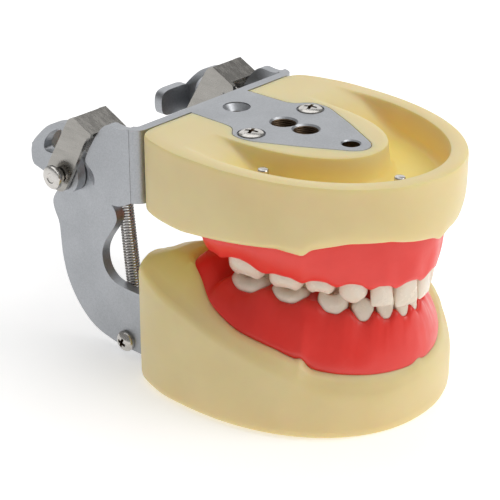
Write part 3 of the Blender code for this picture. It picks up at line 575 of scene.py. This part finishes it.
def plate_outline(grow):
    """Arrow-shaped mounting plate, seen from its flat face."""
    half = [(9.6, BACK_Y + 2.0), (9.9, 5.6), (10.6, 3.6), (13.4, 1.4), (14.0, -0.6), (13.9, -4.0),
            (9.1, -14.0), (3.4, -24.4), (1.9, -26.0), (0.0, -26.5)]
    right = [(x + grow, y) for x, y in half[:6]]
    right += [(x + grow * 0.8, y - grow * 0.5) for x, y in half[6:-1]]
    outline = right + [(0.0, half[-1][1] - grow)] + [(-x, y) for x, y in reversed(right)]
    return soften(outline, 0.9, keep=(0, len(outline) - 1))


def build_base(label, jaw):
    rings = base_rings(jaw)
    verts, faces = skin(rings, caps=False)
    base = solid(label + "_base_casting", verts, faces, CREAM)
    low, high = sorted((jaw.z(-1.0), jaw.z(PLATE_RECESS)))
    tools = [plate("recess", plate_outline(0.22), "z", low, high, CREAM)]
    for y, r in ((BOLT_YS[0], 3.1), (BOLT_YS[1], 3.1), (TIP_Y, 2.2), (REAR_Y, 2.1)):
        tools.append(turned("bolt_space", "z", 0.0, y, ((r, jaw.z(2.0)), (r, jaw.z(10.5))), CREAM))
    cut(base, tools)
    # Painted amber glow: the lower base takes the pad glow cream all over, the upper base's trough
    # faces take the trough glow cream.
    if jaw.up:
        base.data.materials[0] = PAD_GLOW_CREAM
    else:
        base.data.materials.append(TROUGH_GLOW_CREAM)
        for poly in base.data.polygons:
            c = poly.center / MM
            if c.z > HEIGHT - TROUGH_DEEP and jaw.inside_rim(c):
                poly.material_index = len(base.data.materials) - 1
    dress(base, label + "_jaw", label + "_base", sharp=42.0)


# ------------------------------------------------------------------- teeth

# name, middle along the arch from the midline, width, depth across it, crown height, cusps
TEETH = {
    "upper": (("central_incisor", 3.6, 6.7, 4.6, 6.4, 0), ("lateral_incisor", 10.2, 5.5, 4.4, 5.3, 0),
              ("canine", 16.9, 6.9, 5.6, 5.4, 1), ("first_primary_molar", 24.6, 7.4, 8.0, 3.9, 3),
              ("second_primary_molar", 32.9, 8.8, 9.2, 4.2, 4),
              ("first_molar", 43.3, 10.3, 10.2, 5.3, 4)),
    "lower": (("central_incisor", 2.2, 4.0, 3.6, 4.6, 0), ("lateral_incisor", 6.7, 4.3, 3.8, 4.8, 0),
              ("canine", 12.0, 5.6, 4.8, 5.2, 1), ("first_primary_molar", 19.0, 7.6, 6.4, 4.5, 3),
              ("second_primary_molar", 29.4, 9.4, 8.2, 3.1, 4),
              ("first_molar", 39.8, 10.4, 9.4, 3.3, 4)),
}
NECKS = {"lower": (25.0, 25.3, 25.0, 26.8, 28.1, 28.5), "upper": (25.5, 25.6, 24.8, 24.6, 24.6, 22.9)}
SEGMENTS = 32


def crown_profile(w, d, height, cusps):
    """Crown sections from the neck up: (height, half width, half depth, inward shift)."""
    if cusps == 0:
        return ((-1.6, 0.80 * w, 0.88 * d, 0.02 * d), (0.0, 0.87 * w, 0.97 * d, 0.0),
                (0.16 * height, 0.91 * w, 0.99 * d, 0.0),
                (0.34 * height, 0.95 * w, 0.90 * d, -0.03 * d),
                (0.55 * height, 0.985 * w, 0.68 * d, -0.17 * d),
                (0.76 * height, 0.995 * w, 0.46 * d, -0.34 * d),
                (0.90 * height, 0.97 * w, 0.32 * d, -0.43 * d),
                (0.98 * height, 0.90 * w, 0.22 * d, -0.48 * d),
                (height, 0.80 * w, 0.10 * d, -0.49 * d))
    if cusps == 1:
        return ((-1.6, 0.80 * w, 0.88 * d, 0.02 * d), (0.0, 0.88 * w, 0.98 * d, 0.0),
                (0.16 * height, 0.93 * w, 1.0 * d, 0.0), (0.34 * height, 0.96 * w, 0.92 * d, -0.03 * d),
                (0.54 * height, 0.99 * w, 0.76 * d, -0.11 * d),
                (0.70 * height, 0.86 * w, 0.60 * d, -0.19 * d),
                (0.84 * height, 0.60 * w, 0.42 * d, -0.27 * d),
                (0.95 * height, 0.32 * w, 0.24 * d, -0.33 * d),
                (height, 0.13 * w, 0.10 * d, -0.35 * d))
    return ((-1.6, 0.88 * w, 0.90 * d, 0.0), (0.0, 0.94 * w, 0.98 * d, 0.0),
            (0.16 * height, 0.97 * w, 1.0 * d, 0.0), (0.34 * height, 0.98 * w, 1.0 * d, 0.0),
            (0.55 * height, 0.985 * w, 0.96 * d, 0.0), (0.76 * height, 0.93 * w, 0.84 * d, 0.0),
            (0.90 * height, 0.84 * w, 0.72 * d, 0.0))


def tooth_rings(jaw, spec, middle, run, inward, neck):
    """Rings of a crown from inside the gum over its cusps to the middle of its biting face."""
    _, _, width, depth, height, cusps = spec
    centre = middle + inward * (0.5 * depth)
    square = 0.74 if cusps > 1 else 0.84
    rings = []

    def ring(level, half_w, half_d, shift, raise_by=None):
        pts = []
        for k in range(SEGMENTS):
            angle = 2.0 * math.pi * k / SEGMENTS
            c = power(math.cos(angle), square)
            s = power(math.sin(angle), square)
            narrow = 1.0 - 0.07 * (s + 1.0)
            p = centre + run * (half_w * c * narrow) + inward * (half_d * s + shift)
            h = neck + level + (raise_by(angle) if raise_by else 0.0)
            pts.append((p.x, p.y, jaw.z(h)))
        rings.append(pts)

    profile = crown_profile(0.5 * width, 0.5 * depth, height, cusps)
    for row, (level, half_w, half_d, shift) in enumerate(profile):
        if cusps > 1 and row >= 4:
            share = (row - 3) / 3.0
            ring(level, half_w, half_d, shift,
                 lambda a, m=share: 0.40 * m * (-0.5 + 0.5 * math.cos(4.0 * a + math.pi)))
        else:
            ring(level, half_w, half_d, shift)
    if cusps > 1:
        top_w, top_d = profile[-1][1], profile[-1][2]
        for r in (0.86, 0.72, 0.55, 0.38, 0.22, 0.08):
            rise = 0.10 * height * bell(r, 0.80, 0.20)
            fossa = 0.95 * smooth01((0.85 - r) / 0.75)

            def relief(a, r=r, rise=rise, fossa=fossa):
                ridge = 0.5 + 0.5 * math.cos(4.0 * a + math.pi)
                groove = 0.22 * (1.0 - ridge) ** 3
                return rise * (0.35 + 0.65 * ridge) - fossa * (0.45 + 0.55 * (1.0 - 0.5 * ridge)) \
                    - 0.40 * (1.0 - ridge) * (0.4 + 0.6 * r) - groove
            ring(0.93 * height, top_w * r, top_d * r, 0.0, relief)
    return rings


def build_teeth(label, jaw):
    centres = []
    for side, side_name in ((-1.0, "right"), (1.0, "left")):
        for spec, neck in zip(TEETH[label], NECKS[label]):
            a = jaw.line_at(side * (spec[1] - 0.5 * spec[2]))
            b = jaw.line_at(side * (spec[1] + 0.5 * spec[2]))
            middle = (a + b) * 0.5
            run = (b - a).normalized()
            inward = Vector((-run.y, run.x, 0.0))
            if inward.dot(Vector((0.0, -20.0, 0.0)) - middle) < 0.0:
                inward = -inward
            rings = tooth_rings(jaw, spec, middle, run, inward, neck)
            name = label + "_" + side_name + "_" + spec[0]
            tooth = solid(name + "_crown", *skin(rings), ENAMEL)
            dress(tooth, label + "_jaw", name, sharp=0.0, subdivide=1)
            centres.append((side * spec[1], 0.5 * spec[2] + 0.25, neck, spec[3]))
    return sorted(centres)


# --------------------------------------------------------------------- gums

GUM_FINE = 12


def tooth_near(centres, length):
    """(distance share 0..1 from the tooth middle, neck, depth) at a running length."""
    best = min(centres, key=lambda c: abs(length - c[0]) - c[1])
    share = min(abs(length - best[0]) / best[1], 1.4)
    places = [c[0] for c in centres]
    neck = float(np.interp(length, places, [c[2] for c in centres]))
    depth = float(np.interp(length, places, [c[3] for c in centres]))
    return share, neck, depth


def gum_ring(jaw, centres, t, close):
    """Section of the gum at a station, drawn together to a point as close nears 1."""
    length = jaw.length_at(t)
    share, neck, depth = tooth_near(centres, length)
    past = max(abs(length) - max(c[0] + c[1] for c in centres), 0.0)
    papilla = smooth01((share - (0.2 if jaw.up else 0.35)) / 0.7) * math.exp(-past / 1.2)
    bulge = (1.0 - smooth01(share / 0.95)) * math.exp(-past / 2.0)
    span_out = math.dist(jaw.plan(t, 0.0), jaw.plan(t, 1.0))
    span_in = math.dist(jaw.plan(t, 1.0), jaw.plan(t, 2.0))
    lift = frenum(jaw, t)
    edge = jaw.height("edge", t) + 0.9 * lift
    edge_u = jaw.height("edge_u", t)
    margin = neck + 0.15 + (1.55 if jaw.up else 1.15) * papilla - 0.25 * bulge
    margin = max(margin, edge + 0.9)
    face = 0.12 + 0.80 * papilla
    swell = 0.30 * bulge - 0.18 * papilla

    def outer(u, h, push=0.0):
        return jaw.point(t, u - push / span_out, h)

    def inner(mm, h):
        return jaw.point(t, 1.0 + mm / span_in, h)

    rise = margin - edge
    pts = [outer(edge_u + 0.02, edge - 0.5), outer(edge_u - 0.005, edge + 0.10),
           outer(edge_u - 0.02, edge + 0.07 * rise + 0.2)]
    for part, lean, push in ((0.22, 0.10, 0.15), (0.40, 0.26, 0.35), (0.58, 0.46, 0.75),
                             (0.74, 0.66, 1.0), (0.86, 0.82, 0.9), (0.94, 0.92, 0.6)):
        u = edge_u + (1.0 - edge_u) * lean
        pts.append(outer(u, edge + rise * part, 0.25 + swell * push))
    back = depth - face - 0.1
    deep = jaw.floor + 2.2
    pts += [inner(face - 0.42, margin - 0.08), inner(face - 0.16, margin + 0.06),
            inner(face + 0.22, margin - 0.02), inner(0.5 * depth, margin - 0.7 + 0.5 * papilla),
            inner(back - 0.15, margin - 0.05), inner(back + 0.30, margin + 0.02),
            inner(back + 0.65, margin - 0.35), inner(back + 1.15 + 0.4 * bulge, margin - 2.0),
            inner(max(back + 1.9, 0.80 * span_in), 0.5 * (margin - 2.0 + deep)),
            inner(max(back + 2.6, 0.98 * span_in), deep),
            inner(max(back + 2.8, 1.02 * span_in), jaw.floor + 0.7),
            inner(0.90 * span_in, jaw.floor + 0.3), inner(0.40 * span_in, 0.5 * (edge + jaw.floor))]
    if close > 0.0:
        mid = np.mean(np.array(pts), axis=0)
        mid[2] = jaw.z(0.5 * (edge + margin))
        pts = [tuple(mid + (np.array(p) - mid) * math.sqrt(max(1.0 - close * close, 0.0))) for p in pts]
    return pts


def build_gum(label, jaw, centres):
    end = GUM_END[label]
    count = int(end * GUM_FINE)
    rings = [gum_ring(jaw, centres, k / GUM_FINE, 0.0) for k in range(-count, count + 1)]
    for share in (0.35, 0.62, 0.82, 0.94, 0.995):
        for sign in (-1.0, 1.0):
            t = sign * (count / GUM_FINE + 0.42 * share)
            ring = gum_ring(jaw, centres, t, share)
            rings = [ring] + rings if sign < 0 else rings + [ring]
    gum = solid(label + "_gum_mask", *skin(rings), GUM)
    dress(gum, label + "_jaw", label + "_gum", sharp=0.0, subdivide=1)


for label, jaw in (("lower", LOWER), ("upper", UPPER)):
    build_base(label, jaw)
    build_gum(label, jaw, build_teeth(label, jaw))


# ------------------------------------------------------------- sheet frames

SHEET = 2.5                   # thickness of back plate, ears, arms and levers
PLATE_T = 2.4                 # thickness of the mounting plate
BACKPLATE_Y = 17.6            # front face of the back plate
EAR_OUT = 27.2                # outer face of the ears of the upper frame
ARM_OUT = 24.4                # outer face of the arms of the lower frame
BEND_R = 3.4                  # outer radius of the bends
PLATE_SCREW_X = 10.2
PLATE_SCREW_Y = -1.5
ROD_Y = 25.9
ROD_Z = 4.0
ROD_R = 1.6
LUG_Y = 31.2
LUG_Z = 54.2
LUG_R = 0.7
CLIP_OUT = 28.5               # outer face of the clips
CLIP_IN = 18.2                # inner face of the clips
CLIP_T = 1.0                  # thickness of their sheet
PIN_R = 1.3                   # hinge pin
GAP = 0.3                     # clearance between moving pieces
PIN_HOLE_R = PIN_R + GAP
HOLE_STEPS = 56               # segments of a hole's edge

# side views of the sheet parts, as (y, z) outlines
EAR = ((20.2, 60.5), (22.5, 59.8), (24.5, 59.9), (26.7, 60.2), (28.6, 59.1), (30.6, 56.8),
       (33.6, 52.2), (35.3, 48.9), (33.1, 47.5), (31.9, 45.7), (32.0, 43.8), (33.0, 42.4),
       (31.0, 41.2), (28.8, 40.5), (26.3, 40.3), (23.6, 40.7), (20.2, 42.6))
ARM = ((20.6, 1.9), (28.2, 1.9), (35.1, 3.2), (38.6, 4.8), (42.0, 7.8), (44.6, 11.3), (46.4, 15.0),
       (47.6, 20.0), (48.0, 25.2), (48.2, 28.6), (49.7, 31.2), (50.3, 33.6), (49.4, 35.6),
       (47.9, 37.4), (47.9, 43.0), (46.6, 46.6), (43.6, 48.7), (40.4, 48.4), (37.8, 46.2),
       (36.2, 42.6), (33.6, 40.2), (30.8, 39.3), (28.8, 38.0), (27.9, 35.9), (28.2, 34.2),
       (29.8, 31.9), (32.0, 28.9), (33.2, 26.4), (33.5, 24.3), (33.1, 21.8), (31.8, 19.8),
       (29.6, 18.4), (26.0, 17.9), (20.6, 17.9))
CHEEK = ((31.2, 56.8), (36.9, 59.6), (38.6, 58.9), (39.8, 57.0), (44.3, 49.4), (46.9, 45.0),
         (47.2, 42.6), (45.8, 40.2), (43.4, 39.2), (41.0, 40.0), (36.4, 48.6), (33.4, 54.6))
NOSE = ((30.0, 56.2), (30.0, 52.8), (32.4, 52.6), (33.4, 54.6), (36.0, 58.0), (31.2, 56.8))
WEB = ((31.2, 56.8), (36.9, 59.6), (37.3, 58.6), (31.6, 55.8))
LEVER = ((37.7, 45.6), (37.7, 42.4), (39.2, 40.0), (41.6, 38.8), (44.4, 39.1), (46.6, 40.7),
         (48.6, 42.2), (51.3, 42.8), (53.8, 43.4), (53.8, 48.4), (50.4, 52.0), (47.6, 54.5),
         (44.7, 56.0), (41.5, 56.8), (39.8, 56.2), (39.2, 53.0), (39.0, 49.4))
WINDOW = ((49.2, 47.8), (49.0, 50.4), (46.8, 53.0), (43.2, 55.0), (42.4, 54.6), (43.6, 51.0),
          (45.4, 47.8))


def bent_strip(outer_x, low, high):
    """Back plate with its two bends."""
    outer = []
    inner = []
    steps = 16
    for side in (-1.0, 1.0):
        cx = outer_x - BEND_R
        cy = BACKPLATE_Y + BEND_R
        angles = [0.5 * math.pi * k / steps for k in range(steps + 1)]
        arc_out = [(side * (cx + BEND_R * math.cos(a)), cy - BEND_R * math.sin(a)) for a in angles]
        thin = BEND_R - SHEET
        arc_in = [(side * (cx + thin * math.cos(a)), cy - thin * math.sin(a)) for a in angles]
        outer += arc_out if side < 0 else list(reversed(arc_out))
        inner += arc_in if side < 0 else list(reversed(arc_in))
    return plate("strip", outer + list(reversed(inner)), "z", low, high, ALUMINIUM)


def sheet_frame(label, jaw, out, low, high, side_plate, keep):
    """Mounting plate, back plate and two side plates as one piece."""
    low_z, high_z = sorted((jaw.z(0.0), jaw.z(PLATE_T)))
    body = plate(label + "_sheet_frame", plate_outline(0.0), "z", low_z, high_z, ALUMINIUM)
    parts = [bent_strip(out, low, high)]
    for side in (-1.0, 1.0):
        a, b = sorted((side * (out - SHEET), side * out))
        parts.append(plate("side", soften(side_plate, 1.0, keep), "x", a, b, ALUMINIUM))
    cut(body, parts, "UNION")
    tools = [threaded_hole(jaw, y, 2.85) for y in BOLT_YS]
    steps = ((2.3, jaw.z(-0.5)), (2.3, jaw.z(0.0)), (2.0, jaw.z(0.3)), (2.0, jaw.z(4.0)))
    tools.append(turned("hole", "z", 0.0, TIP_Y, steps, ALUMINIUM, HOLE_STEPS))
    for x, y, r in ((0.0, REAR_Y, 1.9), (-PLATE_SCREW_X, PLATE_SCREW_Y, 1.8),
                    (PLATE_SCREW_X, PLATE_SCREW_Y, 1.8)):
        steps = ((3.25, jaw.z(-0.5)), (3.25, jaw.z(0.3)), (r, jaw.z(1.75)), (r, jaw.z(4.0)))
        tools.append(turned("hole", "z", x, y, steps, ALUMINIUM, HOLE_STEPS))
    if label == "lower":
        for side in (-1.0, 1.0):
            for y, z, r in ((ROD_Y, ROD_Z, 1.4), (HINGE_Y, HINGE_Z, PIN_HOLE_R)):
                steps = ((r, side * (out - SHEET - 1.0)), (r, side * (out + 1.0)))
                tools.append(turned("hole", "x", y, z, steps, ALUMINIUM, 40))
    cut(body, tools)
    darken_bores(body, jaw)
    dress(body, label + "_jaw", label + "_frame", sharp=28.0, bevel=0.16)


def darken_bores(body, jaw):
    """Painted shade: dark metal on the walls inside the four holes of the mounting plate."""
    body.data.materials.append(PAINTED_SHADE_METAL)
    for poly in body.data.polygons:
        c = poly.center / MM
        depth = abs(c.z - jaw.z(0.0))
        for y, r in ((BOLT_YS[0], 3.1), (BOLT_YS[1], 3.1), (TIP_Y, 2.15), (REAR_Y, 2.0)):
            if 0.3 < depth < PLATE_T + 0.1 and math.hypot(c.x, c.y + SHIFT_Y - y) < r:
                poly.material_index = 1


def threaded_hole(jaw, y, r):
    """Bolt hole with a chamfer and thread grooves."""
    steps = [(r + 0.45, jaw.z(-0.5)), (r + 0.45, jaw.z(0.0)), (r + 0.05, jaw.z(0.4))]
    for k in range(4):
        steps.append((r - 0.16, jaw.z(0.62 + 0.5 * k)))
        steps.append((r + 0.12, jaw.z(0.87 + 0.5 * k)))
    steps.append((r, jaw.z(4.0)))
    return turned("hole", "z", 0.0, y, steps, ALUMINIUM, HOLE_STEPS)


sheet_frame("upper", UPPER, EAR_OUT, 42.6, HEIGHT, EAR, (0, len(EAR) - 1))
sheet_frame("lower", LOWER, ARM_OUT, 0.0, 17.9, ARM, (0, len(ARM) - 1))


# ------------------------------------------------------------------ screws

def cross_recess(axis, cx, cy, top, direction, reach=1.65):
    """Two crossed tapered slots of a cross-head recess, which carry the dark painted-shade metal onto
    its faces.
    """
    tools = []
    for turn in (0.35, 0.35 + 0.5 * math.pi):
        rings = []
        for length, half, t in ((reach, 0.40, top + direction * 0.6),
                                (reach * 0.94, 0.38, top - direction * 0.1),
                                (0.42, 0.20, top - direction * 1.05)):
            ring = []
            for a, b in ((-length, -half), (length, -half), (length, half), (-length, half)):
                x = cx + a * math.cos(turn) - b * math.sin(turn)
                y = cy + a * math.sin(turn) + b * math.cos(turn)
                ring.append((t, x, y) if axis == "x" else (x, y, t))
            rings.append(ring)
        tools.append(solid("slot", *skin(rings), PAINTED_SHADE_METAL))
    return tools


def dome(radius, height, base, direction, start=0.0):
    """Profile of a domed head from its rim to its top."""
    steps = []
    rows = 7
    for k in range(rows):
        a = 0.5 * math.pi * (k + start) / rows
        steps.append((radius * math.cos(a), base + direction * height * math.sin(a)))
    steps.append((radius * 0.06, base + direction * height))
    return steps


def plate_screw(name, x):
    top = HEIGHT + 0.72
    steps = [(0.8, HEIGHT - 9.0), (1.5, HEIGHT - 8.4), (1.5, HEIGHT - 1.6), (2.85, HEIGHT - 0.3)]
    steps += dome(2.85, 0.72, HEIGHT, 1.0)
    screw = turned(name + "_head", "z", x, PLATE_SCREW_Y, steps, BRIGHT)
    cut(screw, cross_recess("z", x, PLATE_SCREW_Y, top - 0.05, 1.0))
    dress(screw, "upper_jaw", name, sharp=30.0)


def rod_screw(name, side):
    face = ARM_OUT + GAP - 0.25
    steps = [(1.1, side * (ARM_OUT - 5.0)), (1.1, side * face), (2.55, side * face),
             (2.6, side * (face + 0.5))]
    steps += dome(2.6, 1.5, side * (face + 0.5), side, start=0.4)
    screw = turned(name + "_head", "x", ROD_Y, ROD_Z, steps, BRIGHT)
    cut(screw, cross_recess("x", ROD_Y, ROD_Z, side * (face + 2.0), side, 1.35))
    dress(screw, "lower_jaw", name, sharp=30.0)


def hinge_pin(name, side):
    shank = ((1.2, 16.7), (1.9, 16.9), (2.15, 17.3), (2.15, 17.9), (PIN_R, 17.9),
             (PIN_R, CLIP_OUT + GAP))
    head = ((1.9, 0.0), (1.9, 1.2), (2.7, 1.25), (2.9, 1.45), (2.9, 2.1), (2.75, 2.4), (2.35, 2.6),
            (1.3, 2.65), (1.1, 2.45), (0.1, 2.4))
    steps = [(r, side * t) for r, t in shank] + [(r, side * (CLIP_OUT + GAP + t)) for r, t in head]
    pin = turned(name + "_rivet", "x", HINGE_Y, HINGE_Z, steps, BRIGHT)
    dress(pin, "lower_jaw", name, sharp=30.0)


def gum_screw(name, x, y, floor):
    steps = [(0.7, 2.0), (1.1, 2.15), (1.25, 2.4), (1.25, 3.2), (1.0, 3.45), (0.8, 3.5), (0.8, 4.5),
             (1.0, 4.6), (1.6, 4.7), (1.75, 4.9), (1.75, floor)]
    screw = turned(name + "_stud", "z", x, y, [(r, HEIGHT - h) for r, h in steps], BRIGHT)
    dress(screw, "upper_jaw", name, sharp=30.0)


gum_screw("gum_screw_side", -19.8, -13.5, 6.2)
gum_screw("gum_screw_front", -3.6, -38.0, 7.2)


# ------------------------------------------------------------------ latches

def clip(name, side, body):
    """Bent steel clip: two cheeks joined by a web, with the spring's lug."""
    a, b = sorted((side * (CLIP_OUT - CLIP_T), side * CLIP_OUT))
    shape = plate(name + "_bent_sheet", soften(CHEEK, 0.9), "x", a, b, STEEL)
    a, b = sorted((side * CLIP_IN, side * (CLIP_IN + CLIP_T)))
    parts = [plate("cheek", soften(CHEEK, 0.9), "x", a, b, STEEL),
             plate("nose", soften(NOSE, 0.4), "x", a, b, STEEL)]
    a, b = sorted((side * CLIP_IN, side * CLIP_OUT))
    parts.append(plate("web", WEB, "x", a, b, STEEL))
    steps = ((LUG_R, side * 18.7), (LUG_R, side * 21.2), (0.45, side * 21.4))
    parts.append(turned("lug", "x", LUG_Y, LUG_Z, steps, STEEL, 32))
    cut(shape, parts, "UNION")
    steps = ((PIN_HOLE_R, side * 17.0), (PIN_HOLE_R, side * 29.5))
    cut(shape, [turned("hole", "x", HINGE_Y, HINGE_Z, steps, STEEL, 40)])
    dress(shape, body, name, sharp=28.0, bevel=0.14)


def lever(name, side, body):
    """Thumb lever with its window and rear flange."""
    inner = EAR_OUT - SHEET
    a, b = sorted((side * inner, side * EAR_OUT))
    shape = plate(name + "_plate", soften(LEVER, 1.2), "x", a, b, ALUMINIUM)
    low, high = 43.6, 50.4
    flange = ((14.5, low + 1.5), (16.0, low), (EAR_OUT - 0.3, low), (EAR_OUT - 0.3, low + 4.8),
              (inner - 1.0, high), (16.0, high), (14.5, high - 1.5))
    rounded = soften(flange, 1.0, (2, 3))
    rings = [[(side * x, y, z) for x, z in rounded] for y in (51.3, 53.8)]
    cut(shape, [solid("flange", *skin(rings), ALUMINIUM)], "UNION")
    a, b = sorted((side * (inner - 1.0), side * (EAR_OUT + 1.0)))
    tools = [plate("window", soften(WINDOW, 0.8), "x", a, b, ALUMINIUM),
             turned("hole", "x", HINGE_Y, HINGE_Z, ((PIN_HOLE_R, a), (PIN_HOLE_R, b)), ALUMINIUM, 40)]
    cut(shape, tools)
    dress(shape, body, name, sharp=28.0, bevel=0.22)


# ------------------------------------------------------------------ springs

SPRING_X = 20.0
WIRE_R = 0.27
COIL_R = 1.62                 # mean radius of the coil
PITCH = 0.71                  # from one turn to the next
COIL_STEPS = 16               # straight pieces in one turn


def wire(name, path, radial=None):
    """Round wire along a path; radial gives a steady side direction."""
    rings = []
    last = Vector((1.0, 0.0, 0.0))
    for k, p in enumerate(path):
        tangent = (path[min(k + 1, len(path) - 1)] - path[max(k - 1, 0)]).normalized()
        ref = radial(p) if radial else last
        one = (ref - tangent * ref.dot(tangent)).normalized()
        last = one
        two = tangent.cross(one)
        rings.append([p + one * (WIRE_R * math.cos(a)) + two * (WIRE_R * math.sin(a))
                      for a in (math.pi * i / 4.0 for i in range(8))])
    return solid(name, *skin(rings), WIRE)


def spring(name, side):
    """Tension spring: hook on the rod, coil, straight leg and hook on the clip lug."""
    low = Vector((side * SPRING_X, ROD_Y, ROD_Z))
    high = Vector((side * SPRING_X, LUG_Y, LUG_Z))
    axis = (high - low).normalized()
    flat = Vector((side, 0.0, 0.0))
    across = axis.cross(flat)
    length = (high - low).length
    start, stop = 6.2, length - 10.5
    loop_low, loop_high = ROD_R + WIRE_R + 0.1, LUG_R + WIRE_R + 0.1
    path = []
    for k in range(24):
        a = math.radians(60.0 + 270.0 * k / 23.0)
        path.append(low + axis * (loop_low * math.cos(a)) + across * (loop_low * math.sin(a)))
    path.append(low + axis * 3.4)
    path.append(low + axis * 4.8)
    count = int(round((stop - start) / PITCH)) * COIL_STEPS
    for k in range(count + 1):
        a = 2.0 * math.pi * k / COIL_STEPS
        pos = start + (stop - start) * k / count
        grow = min(1.0, k / 12.0, (count - k) / 12.0 + 0.05)
        out = flat * math.cos(a) + across * math.sin(a)
        path.append(low + axis * pos + out * (COIL_R * max(grow, 0.15)))

    def radial(p):
        out = p - low - axis * (p - low).dot(axis)
        return out.normalized() if out.length > 0.2 else flat
    coil = wire(name + "_coil", path, radial)
    last = path[-1]
    leg = [last, last + axis * 0.5, low + axis * (stop + 1.4), low + axis * (stop + 4.0),
           low + axis * (length - loop_high - 2.2), low + axis * (length - loop_high - 1.0)]
    for k in range(20):
        a = math.radians(190.0 + 290.0 * k / 19.0)
        leg.append(high + axis * (loop_high * math.cos(a)) + across * (loop_high * math.sin(a)))
    hook = wire(name + "_hook", leg)
    for obj in (coil, hook):
        obj.data.polygons.foreach_set("use_smooth", [True] * len(obj.data.polygons))
        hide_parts(name)
    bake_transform(coil)
    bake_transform(hook)


for side, side_name in ((-1.0, "right"), (1.0, "left")):
    latch = "latch_" + side_name
    plate_screw("upper_plate_screw_" + side_name, side * PLATE_SCREW_X)
    rod_screw("rod_screw_" + side_name, side)
    hinge_pin("hinge_pin_" + side_name, side)
    clip("latch_clip_" + side_name, side, latch)
    lever("latch_lever_" + side_name, side, latch)
    spring("spring_" + side_name, side)

for record_part in frame["record"]["subparts"]:
    node = frame["nodes"][record_part["node"]]
    node.data.materials.clear()
    node.data.materials.append(SLOT_MATERIAL[record_part["material_slot"]])


# --------------------------------------------------- camera, lights and floor

def camera(azimuth, elevation, lens, target, offset, distance):
    """Camera on the given bearing, with the target shifted off its axis."""
    a, e = math.radians(azimuth), math.radians(elevation)
    right = Vector((math.cos(a), math.sin(a), 0.0))
    up = Vector((-math.sin(e) * math.sin(a), math.sin(e) * math.cos(a), math.cos(e)))
    back = Vector((math.sin(a) * math.cos(e), -math.cos(a) * math.cos(e), math.sin(e)))
    where = Vector(target) - right * offset[0] - up * offset[1] + back * distance
    data = bpy.data.cameras.new("camera")
    data.sensor_width = 36.0
    data.lens = lens
    data.clip_start = 0.01
    obj = bpy.data.objects.new("camera", data)
    basis = Matrix((right, up, back)).transposed().to_4x4()
    basis.translation = Vector(place(*where))
    obj.matrix_world = basis
    bpy.context.collection.objects.link(obj)
    bpy.context.scene.camera = obj


def area_light(name, where, aim, size, power_watts, colour=(1.0, 1.0, 1.0)):
    data = bpy.data.lights.new(name, "AREA")
    data.shape = "RECTANGLE"
    data.size, data.size_y = size
    data.energy = power_watts
    data.color = colour
    obj = bpy.data.objects.new(name, data)
    obj.location = where
    obj.rotation_euler = (Vector(aim) - Vector(where)).to_track_quat("-Z", "Y").to_euler()
    bpy.context.collection.objects.link(obj)


def floor():
    g = Graph("pale_paper_floor", 0.9)
    g.colour(g.ramp(g.noise(3.0, 2.0), ((0.2, (0.90, 0.90, 0.90)), (0.8, (0.93, 0.93, 0.93)))))
    g.set("Specular IOR Level", 0.1)
    g.set("Emission Color", (1.0, 1.0, 1.0, 1.0))
    g.set("Emission Strength", 0.42)
    size = 6000.0
    sheet = solid("floor", [(-size, -size, -0.15), (size, -size, -0.15),
                            (size, size, -0.15), (-size, size, -0.15)],
                  [(0, 1, 2, 3)], g.mat)


def soft_room():
    """Even white surroundings."""
    world = bpy.data.worlds.new("soft_room")
    world.use_nodes = True
    sky = world.node_tree.nodes["Background"]
    sky.inputs["Color"].default_value = (1.0, 1.0, 1.0, 1.0)
    sky.inputs["Strength"].default_value = 0.27
    bpy.context.scene.world = world


camera(-48.077, 25.544, 121.515768, (0.0, 0.0, HEIGHT), (5.990, 29.630), 382.895)
aim = (0.0, 0.0, 0.03)
area_light("key", (0.25, -0.55, 0.55), aim, (0.45, 0.45), 1.8, (1.0, 0.985, 0.96))
area_light("top", (0.13, 0.02, 0.72), aim, (1.2, 0.6), 2.55)
area_light("rear", (0.52, 0.47, 0.33), aim, (0.75, 0.5), 0.9)
floor()
soft_room()
bpy.context.scene.view_settings.view_transform = "Standard"
